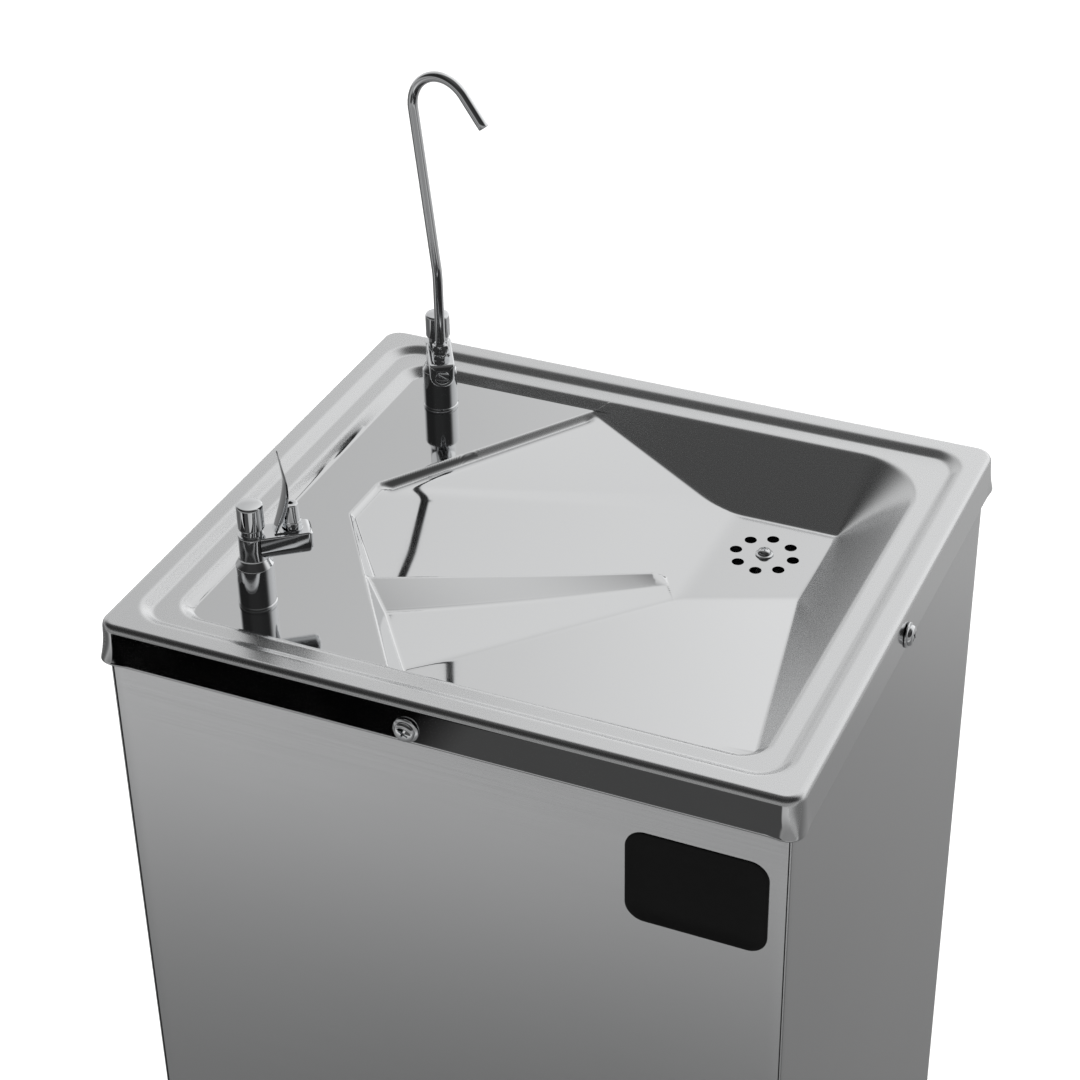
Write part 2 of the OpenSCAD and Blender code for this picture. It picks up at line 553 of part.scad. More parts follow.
module compressor_terminal_cover() {
  color([0.16, 0.16, 0.17]) translate([comp[0], comp[1] - 96, cz + 24]) difference() {
    translate([-24, 0, 0]) cube([48, 25.9, 46]);
    translate([-22, 2, 2]) cube([44, 26, 42]);
  }
}
// wire-on-tube condenser standing inside the rear panel
cy = 118;
passes = 12;
pz = 46;
module condenser_tube() {
  color([0.07, 0.07, 0.08]) rod(route(concat(
    [for (k = [0:passes - 1]) each [[(k % 2 == 0 ? 1 : -1) * 112, cy, 838 - k * pz], [(k % 2 == 0 ? -1 : 1) * 112, cy, 838 - k * pz]]],
    [[157, cy, 290], [157, 40, 270], [157, -108, 270], [40, -120, 270]]), 20, 3), 2.4, 6);
}
module condenser_wires() {
  color([0.07, 0.07, 0.08]) for (k = [0:13], s = [-1, 1]) translate([-96 + 192 * k / 13, cy + s * 3.2, 322]) cylinder(r = 0.7, h = 526, $fn = 16);
}
module filter_drier() {
  color(copper) translate([39.8, -120, 270]) rotate([0, -90, 0]) union() {
    cylinder(r1 = 2.4, r2 = 9, h = 9); cyl(9, 8.9, 70); translate([0, 0, 69.9]) cylinder(r1 = 9, r2 = 1.2, h = 9);
  }
}
module capillary_line() {
  color(copper) rod(route(concat([[-39.1, -120, 270], [-70, -120, 270]],
    [for (k = [0:24]) [-104 + 22 * cos(30 * k), -110 + 22 * sin(30 * k), 270 + 6 * k / 4]],
    [[-112, -60, 330], [-130, -10, 360], [-130, -10, 585], [-76.6, -10, 585]]), 14, 2), 1.1, 6);
}
module suction_line() {
  color(copper) rod(route([[-76.6, tk[1], 800], [-128, tk[1], 800], [-144, -24, 620], [-144, -24, 200], [-140, -24, 145], [-119.4, -10.2, 145]], 22, 4), 3.6, 8);
}
module discharge_line() {
  color(copper) rod(route([[-18.9, 85.2, 145], [0, 109, 145], [0, 112, 200], [134, 112, 212], [140, 112, 500], [136, cy, 838], [114.6, cy, 838]], 22, 4), 2.4, 8);
}
module thermostat_body() {
  color([0.2, 0.2, 0.21]) difference() {
    union() { box(stat[0] - 18, stat[0] + 18, cd - 26, cd, stat[1] - 15, stat[1] + 15); along_y(stat[0], stat[1], 3, cd - 1, cd + sheet + 4.2); }
    along_y(stat[0] + 10, stat[1] + 9, 1.5, cd - 28, cd - 12);
  }
}
module thermostat_knob() {
  color([0.07, 0.07, 0.07]) difference() {
    union() {
      along_y(stat[0], stat[1], 15, cd + sheet + 0.6, cd + sheet + 2.6);
      along_y(stat[0], stat[1], 12, cd + sheet + 2.5, cd + sheet + 6.8);
    }
    along_y(stat[0], stat[1], 3.05, cd, cd + sheet + 4.4);
    box(stat[0] - 0.8, stat[0] + 0.8, cd + sheet + 5.8, cd + sheet + 8, stat[1] + 2, stat[1] + 13);
    for (a = [0:30:330]) translate([stat[0], 0, stat[1]]) rotate([0, a + 15, 0]) translate([0, 0, 12.9]) rotate([-90, 0, 0]) translate([0, 0, cd + sheet + 2.6]) cylinder(r = 1.6, h = 12);
  }
}
module thermostat_sensor_line() {
  color(copper) rod(route([[stat[0] + 10, cd - 13, stat[1] + 9], [stat[0] + 10, cd - 34, stat[1] + 9], [108, 60, 300], [108, 10, 400], [108, 0, 660], [108, tk[1], 700], [tk[0] + 61.8, tk[1], 700]], 16, 3), 0.9, 6);
}

// ---------- water ----------
fl = [92, -72];            // filter axis
fz = 330;                  // joint between bowl and head
module water_inlet_fitting() {
  color([0.78, 0.68, 0.40]) difference() {
    union() {
      along_y(inlet[0], inlet[1], 8, cr - 10, cr + sheet + 1);
      hexy(inlet[0], inlet[1], 13, cr - 6, cr);
      hexy(inlet[0], inlet[1], 14, cr + sheet, cr + sheet + 5);
      along_y(inlet[0], inlet[1], 10.4, cr + sheet + 4.9, cr + sheet + 20);
      along_y(inlet[0], inlet[1], 4, cr - 26, cr - 9.9);
    }
    along_y(inlet[0], inlet[1], 2.6, cr - 27, cr + sheet + 21);
  }
}
module water_filter_head() {
  color([0.18, 0.30, 0.52]) translate([fl[0], fl[1], 0]) difference() {
    union() {
      cyl(36, fz, fz + 22);
      translate([0, 0, fz + 21.9]) cylinder(r1 = 36, r2 = 24, h = 10);
      cyl(24, fz + 31.8, fz + 40);
      along_x(0, fz + 20, 8, -44, 44);
    }
    cyl(31, fz - 1, fz + 16);
    along_x(0, fz + 20, 3, -45, -10);
    along_x(0, fz + 20, 3, 10, 45);
    translate([-12, 0, 0]) cyl(3, fz + 10, fz + 20);
    translate([12, 0, 0]) cyl(3, fz + 10, fz + 20);
  }
}
module water_filter_bowl() {
  color([0.90, 0.91, 0.92]) translate([fl[0], fl[1], 0]) difference() {
    union() { cyl(30.8, fz - 20, fz + 12); cyl(34, fz - 14, fz - 0.2); translate([0, 0, fz - 210]) cylinder(r1 = 26, r2 = 30.8, h = 190); translate([0, 0, fz - 216]) cylinder(r1 = 20, r2 = 26, h = 6); }
    translate([0, 0, fz - 208]) cylinder(r1 = 23.5, r2 = 28.3, h = 188);
    cyl(28.3, fz - 20, fz + 13);
  }
}
module water_filter_cartridge() {
  color([0.96, 0.96, 0.94]) translate([fl[0], fl[1], 0]) difference() {
    union() { cyl(21.5, fz - 200, fz + 4); cyl(22.5, fz - 202, fz - 197); cyl(22.5, fz + 1, fz + 6); }
    cyl(8, fz - 190, fz + 7);
  }
}
module filter_bracket() {
  color([0.62, 0.63, 0.64]) union() {
    box(fl[0] - 30, cw - sheet - 0.1, fl[1] - 26, fl[1] + 26, fz + 40, fz + 41.5);
    box(cw - sheet - 1.6, cw - sheet - 0.1, fl[1] - 26, fl[1] + 26, fz + 10, fz + 41.5);
  }
}
module supply_line() {
  color([0.85, 0.87, 0.90]) hose(route([[inlet[0], cr - 12, inlet[1]], [inlet[0], cr - 38, inlet[1]], [149, 66, inlet[1] + 20], [149, 30, inlet[1] + 70], [149, -20, fz - 60], [149, fl[1], fz - 10], [149, fl[1], fz + 20], [fl[0] + 44, fl[1], fz + 20]], 18, 3), 5.6, 4.4, 8);
}
module filtered_water_line() {
  color([0.85, 0.87, 0.90]) hose(route([[fl[0] - 44, fl[1], fz + 20], [fl[0] - 70, fl[1], fz + 20], [15, fl[1] + 20, fz + 45], [15, tk[1], fz + 90], [15, tk[1], 537.9]], 20, 3), 4.6, 3.2, 8);
}
module cold_water_lines() {
  color([0.85, 0.87, 0.90]) {
    hose([[tk[0], tk[1], 834.1], [tk[0], tk[1], 863]], 4.6, 3.2, 12);
    for (s = [-1, 1]) hose(route([[tk[0] - 8.4, tk[1] + s * 6.5, 868], [tk[0] - 40, tk[1] + s * 22, 868], [-tap_x, s * tap_y, 872], [-tap_x, s * tap_y, deck - 40]], 20, 3), 5.2, 3.8, 8);
    difference() {
      box(tk[0] - 9, tk[0] + 9, tk[1] - 13, tk[1] + 13, 862.1, 876);
      translate([tk[0], tk[1], 0]) cyl(3.1, 861, 870);
      along_y(tk[0], 868, 2.4, tk[1] - 8, tk[1] + 8);
      for (s = [-1, 1]) along_x(tk[1] + s * 6.5, 868, 2.6, tk[0] - 10, tk[0]);
    }
  }
}

// ---------- electrics ----------
module cord_gland() {
  color([0.08, 0.08, 0.08]) difference() {
    union() {
      along_y(gland[0], gland[1], 8, cr - 12, cr + sheet + 1);
      hexy(gland[0], gland[1], 11.5, cr - 6, cr);
      hexy(gland[0], gland[1], 11.5, cr + sheet, cr + sheet + 5);
      translate([gland[0], cr + sheet + 4.9, gland[1]]) rotate([-90, 0, 0]) cylinder(r1 = 9.5, r2 = 6.5, h = 11);
    }
    along_y(gland[0], gland[1], 3.8, cr - 13, cr + sheet + 17);
  }
}
module terminal_block() {
  color([0.93, 0.92, 0.88]) difference() {
    box(44, 92, 70, 92, ty + 1.2, ty + 18);
    for (k = [0:3]) translate([50 + 12 * k, 0, 0]) { translate([0, 81, 0]) cyl(3, ty + 8, ty + 19); along_y(0, ty + 8, 2.2, 69, 93); }
    box(43, 93, 69, 75, ty + 13, ty + 19);
    box(43, 93, 87, 93, ty + 13, ty + 19);
  }
}

basin_top();
front_panel();
left_side_panel();
right_side_panel();
rear_panel();
base_tray();
rubber_feet();
base_bolts();
skirt_screws();
panel_screws();
front_label();
drain_screw();
drain_gasket();
drain_cup();
drain_hose();
drain_outlet();
jet_tap_body();
jet_tap_button();
jet_tap_stem();
jet_tap_spring();
jet_tap_regulator();
jet_nozzle();
mouth_guard();
filler_tap_body();
filler_tap_button();
filler_tap_stem();
filler_tap_spring();
filler_tap_regulator();
gooseneck_spout();
spout_nut();
tap_washers();
tap_locknuts();
tank_shelf();
cold_tank();
evaporator_coil();
insulation_front();
insulation_rear();
compressor_shell();
compressor_base_plate();
compressor_grommets();
compressor_terminal_cover();
condenser_tube();
condenser_wires();
filter_drier();
capillary_line();
suction_line();
discharge_line();
thermostat_body();
thermostat_knob();
thermostat_sensor_line();
water_inlet_fitting();
water_filter_head();
water_filter_bowl();
water_filter_cartridge();
filter_bracket();
supply_line();
filtered_water_line();
cold_water_lines();
cord_gland();
terminal_block();
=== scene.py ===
import bpy
import json
import math
import numpy as np
from mathutils import Matrix, Vector
from mathutils.geometry import delaunay_2d_cdt

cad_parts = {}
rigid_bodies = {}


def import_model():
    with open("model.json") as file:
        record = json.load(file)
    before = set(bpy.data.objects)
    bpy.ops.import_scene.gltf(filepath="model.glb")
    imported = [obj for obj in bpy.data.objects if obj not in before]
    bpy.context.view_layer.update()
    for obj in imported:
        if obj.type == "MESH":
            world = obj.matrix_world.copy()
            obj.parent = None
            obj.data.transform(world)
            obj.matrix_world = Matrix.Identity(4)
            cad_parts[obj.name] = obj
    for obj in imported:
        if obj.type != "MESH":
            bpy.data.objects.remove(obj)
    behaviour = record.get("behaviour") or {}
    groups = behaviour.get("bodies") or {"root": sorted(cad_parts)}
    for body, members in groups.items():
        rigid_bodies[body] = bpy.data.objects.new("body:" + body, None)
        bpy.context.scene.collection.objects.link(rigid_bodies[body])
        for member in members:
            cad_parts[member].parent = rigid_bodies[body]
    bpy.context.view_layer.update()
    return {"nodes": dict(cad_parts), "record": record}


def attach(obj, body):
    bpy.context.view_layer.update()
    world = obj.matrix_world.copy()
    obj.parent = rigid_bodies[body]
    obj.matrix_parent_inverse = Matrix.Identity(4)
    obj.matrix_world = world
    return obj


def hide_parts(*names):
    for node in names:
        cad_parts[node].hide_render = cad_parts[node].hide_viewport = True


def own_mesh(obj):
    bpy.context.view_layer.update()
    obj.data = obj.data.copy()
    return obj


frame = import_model()

# ------------------------------------------------------------------ sizes (mm, z = 0 at the rim unless named otherwise)
RIM = 960.0
HW, HD = 167.5, 150.0
SKIRT = 21.0
DECK = -7.0
TAPX, TAPY = 112.0, 97.0
JET_DIR, FILL_DIR, SPOUT_DIR = 37.0, -60.0, -12.0
ARM_X, JET_X, ARM_L, ARM_Z, ARM_T = 17.6, 18.4, 27.0, 30.6, 37.1
DX, DY, PAN = 78.3, 60.3, -30.0
CW, CD, SHEET = 163.0, 145.5, 0.8
MM = 0.001


# ------------------------------------------------------------------ mesh helpers
def make(name, verts, faces, normals=None, smooth=True, sharp_angle=None):
    me = bpy.data.meshes.new(name)
    me.from_pydata([tuple(float(c) * MM for c in v) for v in verts], [], [tuple(int(i) for i in f) for f in faces])
    me.validate()
    me.update()
    if smooth:
        me.polygons.foreach_set("use_smooth", [True] * len(me.polygons))
    ob = bpy.data.objects.new(name, me)
    bpy.context.scene.collection.objects.link(ob)
    if normals is not None:
        me.normals_split_custom_set_from_vertices([tuple(n) for n in normals])
    elif sharp_angle is not None:
        me.set_sharp_from_angle(angle=math.radians(sharp_angle))
    return ob


def place(verts, origin, turn=0.0):
    c, s = math.cos(math.radians(turn)), math.sin(math.radians(turn))
    v = np.asarray(verts, float)
    return np.stack([origin[0] + c * v[:, 0] - s * v[:, 1], origin[1] + s * v[:, 0] + c * v[:, 1], origin[2] + v[:, 2]], 1)


def lathe(profile, n=64, squash=None):
    """Closed surface of revolution about +Z. profile: (r, z) points from the bottom axis outward and up."""
    verts, faces, rings = [], [], []
    for r, z in profile:
        if r < 1e-6:
            rings.append([len(verts)])
            verts.append((0.0, 0.0, z))
        else:
            rings.append(list(range(len(verts), len(verts) + n)))
            for k in range(n):
                a = 2 * math.pi * k / n
                verts.append((r * math.cos(a), r * math.sin(a), z))
    for a, b in zip(rings[:-1], rings[1:]):
        for k in range(n):
            l = (k + 1) % n
            if len(a) == 1 and len(b) > 1:
                faces.append((a[0], b[l], b[k]))
            elif len(b) == 1 and len(a) > 1:
                faces.append((a[k], a[l], b[0]))
            elif len(a) > 1:
                faces.append((a[k], a[l], b[l], b[k]))
    return np.array(verts), faces


def arc(cx, cz, r, a0, a1, n):
    return [(cx + r * math.cos(math.radians(a0 + (a1 - a0) * k / n)), cz + r * math.sin(math.radians(a0 + (a1 - a0) * k / n))) for k in range(n + 1)]


def sweep(path, radius, n=24, caps=True, inner=None):
    """Round tube along a path; radius may be a function of the index. Returns vertices and faces."""
    p = np.asarray(path, float)
    t = np.gradient(p, axis=0)
    t /= np.linalg.norm(t, axis=1)[:, None]
    ref = np.array([0.0, 1.0, 0.0]) if abs(t[0][1]) < 0.9 else np.array([1.0, 0, 0])
    f = np.cross(t[0], ref)
    f /= np.linalg.norm(f)
    verts, frames = [], []
    for i in range(len(p)):
        f = f - t[i] * np.dot(f, t[i])
        f /= np.linalg.norm(f)
        frames.append((f.copy(), np.cross(t[i], f)))
    def ring(i, r):
        a, b = frames[i]
        return [p[i] + r * (math.cos(2 * math.pi * k / n) * a + math.sin(2 * math.pi * k / n) * b) for k in range(n)]
    rad = radius if callable(radius) else (lambda i: radius)
    faces = []
    for i in range(len(p)):
        verts += ring(i, rad(i))
    for i in range(len(p) - 1):
        for k in range(n):
            l = (k + 1) % n
            faces.append((i * n + k, i * n + l, (i + 1) * n + l, (i + 1) * n + k))
    m = len(p) * n
    if inner:
        # rolled lip and bore at the far end
        e = len(p) - 1
        steps = [(rad(e) - 0.12, 0.12), ((rad(e) + inner) / 2, 0.2), (inner + 0.12, 0.12), (inner, -0.1), (inner, -9.0)]
        last = (e) * n
        for r, d in steps:
            a, b = frames[e]
            base = len(verts)
            verts += [p[e] + t[e] * d + r * (math.cos(2 * math.pi * k / n) * a + math.sin(2 * math.pi * k / n) * b) for k in range(n)]
            for k in range(n):
                l = (k + 1) % n
                faces.append((last + k, last + l, base + l, base + k))
            last = base
        c = len(verts)
        verts.append(p[e] - t[e] * 9.0)
        faces += [(last + k, last + (k + 1) % n, c) for k in range(n)]
        c = len(verts)
        verts.append(p[0])
        faces += [((k + 1) % n, k, c) for k in range(n)]
    elif caps:
        for i, flip in ((0, True), (len(p) - 1, False)):
            c = len(verts)
            verts.append(p[i])
            for k in range(n):
                l = (k + 1) % n
                faces.append((i * n + l, i * n + k, c) if flip else (i * n + k, i * n + l, c))
    return np.array(verts), faces


def join(parts):
    verts, faces, k = [], [], 0
    for v, f in parts:
        verts.append(np.asarray(v, float))
        faces += [tuple(i + k for i in q) for q in f]
        k += len(v)
    return np.concatenate(verts), faces


# ------------------------------------------------------------------ basin surface
def smax(a, b, k):
    h = np.maximum(k - np.abs(a - b), 0) / k
    return np.maximum(a, b) + h * h * h * k / 6.0


def smin(a, b, k):
    h = np.maximum(k - np.abs(a - b), 0) / k
    return np.minimum(a, b) - h * h * h * k / 6.0


def ease(t):
    t = np.clip(t, 0, 1)
    return t * t * (3 - 2 * t)


def sd_rect(x, y, a, b, r):
    qx, qy = np.abs(x) - (a - r), np.abs(y) - (b - r)
    return np.hypot(np.maximum(qx, 0), np.maximum(qy, 0)) + np.minimum(np.maximum(qx, qy), 0) - r


def edge(x, y, p, q):
    """Signed distance to the line p->q, positive on its left."""
    dx, dy = q[0] - p[0], q[1] - p[1]
    n = math.hypot(dx, dy)
    return (-(x - p[0]) * dy + (y - p[1]) * dx) / n


def floor_height(x, y):
    t2 = -9.2 - 0.13 * (x + 107)
    t1 = -8.7 - 0.2121 * (x + 33) + 0.151 * (y - 117.6)
    lf = -7.3 + 0.06 * (x - 136) - 0.1433 * (y + 115)
    z = smax(t2, lf, 0.8)
    z = smax(z, t1, 1.2)
    z = smax(z, PAN + 0 * x, 0.9)
    return z


def basin(x, y):
    x = np.asarray(x, float)
    y = np.asarray(y, float)
    fl = floor_height(x, y)
    # soft groove along the foot of the upper-left diagonal
    d1 = -edge(x, y, (-107, 15), (-36, 120))
    t1_ = ((x + 107) * 71 + (y - 15) * 105) / (71.0 ** 2 + 105.0 ** 2)
    fl = fl - 1.7 * np.exp(-((d1 - 2.4) / 2.6) ** 2) * ease(t1_ / 0.05) * ease((1 - t1_) / 0.06)
    # drainer rib: a raised tongue, steep behind and sloping in front, that dies out before the pan
    px, py, qx, qy = -75.0, -58.0, 41.5, 21.5
    ln = math.hypot(qx - px, qy - py)
    ux, uy = (qx - px) / ln, (qy - py) / ln
    s = ((x - px) * ux + (y - py) * uy) / ln
    d = (x - px) * uy - (y - py) * ux
    sc = np.clip(s, 0, 1)
    e = (2.7 + 2.1 * (1 - sc) ** 2) * np.sqrt(np.clip((1.0 - s) / 0.04, 0, 1))
    over = 60 * np.maximum(s - 1.0, 0)
    w = 19.0 - 13.5 * sc ** 1.5
    face = fl + e * (1 - d / w) - 0.05 * np.maximum(d - w, 0) - over
    back = fl + e + 1.6 * d - over
    rib = smin(face, back, 2.6) + 0.42
    fl = smax(fl, rib, 0.7)
    # rear and right walls with the conical corner between them
    u = (x - 105.4) / 31.1
    v = (y - 88.0) / 32.0
    up = np.maximum(u, 0)
    vp = np.maximum(v, 0)
    wn = np.hypot(up, vp)
    wall = -30.5 + 23.5 * wn
    wall = np.where((u < 0) & (v < 0), -60.0 + 0 * x, wall)
    wr = -30.5 + 23.5 * u
    wb = -30.5 + 23.5 * v
    wall = np.where((up > 0) & (vp > 0), wall, np.maximum(wr, wb))
    zin = smax(fl, wall, 0.9)
    # short walls on the left diagonals and the front
    o1 = edge(x, y, (-107, 15), (-36, 120))
    o2 = edge(x, y, (-107, -15), (-107, 15))
    o3 = edge(x, y, (-34, -120), (-107, -15))
    o4 = -(y + 120)
    sd = smax(smax(0.75 * o1, o2, 1.2), smax(o3, o4, 2.0), 1.0)
    ramp = DECK + 1.5 * sd
    zin = smax(zin, ramp, 2.2)
    # the deck ends where the right and rear walls take over
    q = np.maximum(ease((x - 116) / 10) * ease((y + 116) / 14), ease((y - 100) / 10) * ease((x - edge_x(y)) / 14))
    deck = DECK + 30 * q
    z = smin(deck, zin, 1.6 - 0.7 * ease((y - 10) / 20))
    # step up to the ledge, then to the rim
    s2 = sd_rect(x, y, 136.5, 120.0, 9.0)
    step = DECK - 0.5 * q + np.where(s2 > 0, 0.756, 2.5) * s2
    z = smax(z, step, 1.2 - 0.8 * q)
    s1 = sd_rect(x, y, HW - 16.5, HD - 16.5, 12.0)
    z = smin(z, -3.05 + 0 * x, 1.6)
    z = smax(z, -3.05 + 0.62 * s1, 1.1)
    z = smin(z, 0 * x, 1.4)
    return z


def edge_x(y):
    """x of the upper-left diagonal at height y of the deck plan."""
    return -107 + (y - 15) * 71.0 / 105.0


def slope_normals(x, y):
    h = 0.12
    dzx = (basin(x + h, y) - basin(x - h, y)) / (2 * h)
    dzy = (basin(x, y + h) - basin(x, y - h)) / (2 * h)
    n = np.stack([-dzx, -dzy, np.ones_like(dzx)], 1)
    return n / np.linalg.norm(n, axis=1)[:, None]


def ring_points(a, b, r, nx, ny, nc):
    """Rounded rectangle, counter-clockwise from the middle of the left side; points mirror in y."""
    pts = []
    def seg(p, q, n):
        for k in range(n):
            t = k / n
            pts.append((p[0] + (q[0] - p[0]) * t, p[1] + (q[1] - p[1]) * t))
    def cor(cx, cy, a0, n):
        for k in range(n):
            t = math.radians(a0 + 90.0 * k / n)
            pts.append((cx + r * math.cos(t), cy + r * math.sin(t)))
    seg((-a, 0), (-a, -(b - r)), ny // 2)
    cor(-(a - r), -(b - r), 180, nc)
    seg((-(a - r), -b), (a - r, -b), nx)
    cor(a - r, -(b - r), 270, nc)
    seg((a, -(b - r)), (a, b - r), ny)
    cor(a - r, b - r, 0, nc)
    seg((a - r, b), (-(a - r), b), nx)
    cor(-(a - r), b - r, 90, nc)
    seg((-a, b - r), (-a, 0), ny // 2)
    return np.array(pts)


FINE = 1.0
NX, NY, NC = int(380 / FINE), 2 * int(170 / FINE), int(26 / FINE)


def build_basin():
    insets = []
    d = 4.0
    while d < 34:
        insets.append(d)
        d += 0.42 * FINE
    while d < 149.7:
        insets.append(d)
        d += 0.78 * FINE
    # outer skin: rounded edge, skirt, hem and the inside of the hem
    out = []                                   # (inset, z, flare weight)
    for k in range(1, 13):
        t = math.radians(90 + 90 * k / 12)
        out.append((4.0 + 3.2 * math.cos(t), -4.0 + 4.0 * math.sin(t), 0.0))
    for k in range(1, 18):
        z = -4.0 - 15.8 * k / 17
        out.append((0.8 - 0.8 * k / 17, z, (max(0.0, -z - 7) / 13.0) ** 2))
    out += [(0.02, -20.15, 1), (0.16, -20.6, 1), (0.42, -20.9, 1), (0.8, -21.0, 1), (1.15, -20.85, 1), (1.35, -20.5, 1), (1.4, -20.0, 1), (1.4, -14.0, 0.5), (1.5, -4.0, 0), (2.6, -1.9, 0), (5.0, -1.2, 0)]
    verts, norms = [], []
    rows = []
    for ins, z, fl in reversed(out):
        r = 10.0 - min(ins, 4.0)
        p = ring_points(HW - ins, HD - ins, r, NX, NY, NC)
        if fl > 0:
            cx = np.abs(p[:, 0]) - (HW - 16)
            cy = np.abs(p[:, 1]) - (HD - 16)
            k = np.clip(np.minimum(cx, cy) / 14.0, 0, 1)
            rad = np.stack([np.sign(p[:, 0]), np.sign(p[:, 1])], 1) / math.sqrt(2)
            p = p + rad * (1.7 * fl * (3 * k ** 2 - 2 * k ** 3))[:, None]
        rows.append((p, np.full(len(p), z), None))
    for ins in insets:
        r = 6.0 + min(max(ins - 4, 0), 12) * 0.5
        r = min(r, 0.5 * (HD - ins))
        p = ring_points(HW - ins, HD - ins, r, NX, NY, NC)
        z = basin(p[:, 0], p[:, 1])
        rows.append((p, z, "h"))
    n = len(rows[0][0])
    P = np.concatenate([np.column_stack([p, z]) for p, z, _ in rows])
    R = len(rows)
    faces = []
    idx = np.arange(n)
    nxt = (idx + 1) % n
    for i in range(R - 1):
        a, b = i * n, (i + 1) * n
        faces += list(zip(a + idx, a + nxt, b + nxt, b + idx))
    last = (R - 1) * n
    faces.append((last, last + 1, last + n - 1))
    for j in range(1, n // 2 - 1):
        faces.append((last + j, last + j + 1, last + n - j - 1, last + n - j))
    faces.append((last + n // 2 - 1, last + n // 2, last + n // 2 + 1))
    # normals: exact on the pressed surface, from the profile on the skirt
    N = np.zeros_like(P)
    grid = P.reshape(R, n, 3)
    dr = np.zeros_like(grid)
    dr[1:-1] = grid[2:] - grid[:-2]
    dr[0] = grid[1] - grid[0]
    dr[-1] = grid[-1] - grid[-2]
    dp = np.roll(grid, -1, axis=1) - np.roll(grid, 1, axis=1)
    nn = np.cross(dp, dr)
    nn /= np.maximum(np.linalg.norm(nn, axis=2), 1e-9)[:, :, None]
    N = nn.reshape(-1, 3)
    k0 = len(out)
    hx = P[k0 * n:, 0]
    hy = P[k0 * n:, 1]
    N[k0 * n:] = slope_normals(hx, hy)
    # cut the drain flat out and re-triangulate it around the holes
    F = np.array([f if len(f) == 4 else (f[0], f[1], f[2], f[2]) for f in faces])
    C = P[F].mean(axis=1)
    inside = np.hypot(C[:, 0] - DX, C[:, 1] - DY) < 20.5
    keep = [faces[i] for i in np.nonzero(~inside)[0]]
    gone = [faces[i] for i in np.nonzero(inside)[0]]
    count = {}
    for f in gone:
        for a, b in zip(f, f[1:] + f[:1]):
            key = (min(a, b), max(a, b))
            count[key] = count.get(key, 0) + 1
    border = [k for k, c in count.items() if c == 1]
    ids = sorted(set(i for e in border for i in e))
    loc = {g: i for i, g in enumerate(ids)}
    pts = [(P[g][0], P[g][1]) for g in ids]
    cons = [(loc[a], loc[b]) for a, b in border]
    holes = [(DX + 14.4 * math.cos(math.radians(a)), DY + 14.4 * math.sin(math.radians(a)), 3.0) for a in range(2, 362, 45)]
    rims = []
    for cx, cy, r in holes:
        for rr in (r + 0.45, r):
            base = len(pts)
            m = 40
            pts += [(cx + rr * math.cos(2 * math.pi * k / m), cy + rr * math.sin(2 * math.pi * k / m)) for k in range(m)]
            cons += [(base + k, base + (k + 1) % m) for k in range(m)]
        rims.append((base, m, cx, cy, r))
    for rr in (6.0, 9.0, 19.0):
        base = len(pts)
        m = 60
        pts += [(DX + rr * math.cos(2 * math.pi * k / m), DY + rr * math.sin(2 * math.pi * k / m)) for k in range(m)]
    out_v, out_e, out_f, orig, _, _ = delaunay_2d_cdt([Vector(p) for p in pts], cons, [], 1, 1e-6)
    back = {}
    for i, o in enumerate(orig):
        for j in o:
            back[j] = i
    base = len(P)
    gid = {}
    newP, newN = [], []
    for i, v in enumerate(out_v):
        known = [j for j in orig[i] if j < len(ids)]
        if known:
            gid[i] = ids[known[0]]
        else:
            gid[i] = base + len(newP)
            rim = any(abs(math.hypot(v.x - cx, v.y - cy) - r) < 1e-3 for cx, cy, r in holes)
            newP.append((v.x, v.y, float(basin(np.array([v.x]), np.array([v.y]))[0]) - (0.28 if rim else 0)))
            newN.append((0, 0, 1))
    for f in out_f:
        cx = sum(out_v[i].x for i in f) / 3
        cy = sum(out_v[i].y for i in f) / 3
        if any(math.hypot(cx - hx_, cy - hy_) < r - 1e-4 for hx_, hy_, r in holes):
            continue
        if math.hypot(cx - DX, cy - DY) > 24:
            continue
        # keep only triangles inside the removed region
        g = [gid[i] for i in f]
        keep.append(tuple(g) if signed([out_v[i] for i in f]) > 0 else tuple(reversed(g)))
    P2 = np.concatenate([P, np.array(newP)])
    N2 = np.concatenate([N, np.array(newN, float)])
    # sheet thickness seen inside each hole
    extraP, extraN = [], []
    for b0, m, cx, cy, r in rims:
        ring0 = [gid[back[b0 + k]] for k in range(m)]
        zt = P2[ring0[0]][2]
        b1 = len(P2) + len(extraP)
        for k in range(m):
            a = 2 * math.pi * k / m
            extraP.append((cx + r * math.cos(a), cy + r * math.sin(a), zt - 1.2))
            extraN.append((-math.cos(a), -math.sin(a), 0))
        for k in range(m):
            l = (k + 1) % m
            keep.append((ring0[l], ring0[k], b1 + k, b1 + l))
    P3 = np.concatenate([P2, np.array(extraP)])
    N3 = np.concatenate([N2, np.array(extraN)])
    P3[:, 2] += RIM
    used = np.zeros(len(P3), bool)
    for f in keep:
        for i in f:
            used[i] = True
    remap = np.cumsum(used) - 1
    keep = [tuple(int(remap[i]) for i in f) for f in keep]
    return P3[used], keep, N3[used]


def signed(v):
    return (v[1].x - v[0].x) * (v[2].y - v[0].y) - (v[1].y - v[0].y) * (v[2].x - v[0].x)


bv, bf, bn = build_basin()
basin_ob = make("pressed_basin", bv, bf, normals=bn)
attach(basin_ob, "cabinet")
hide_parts("basin_top")

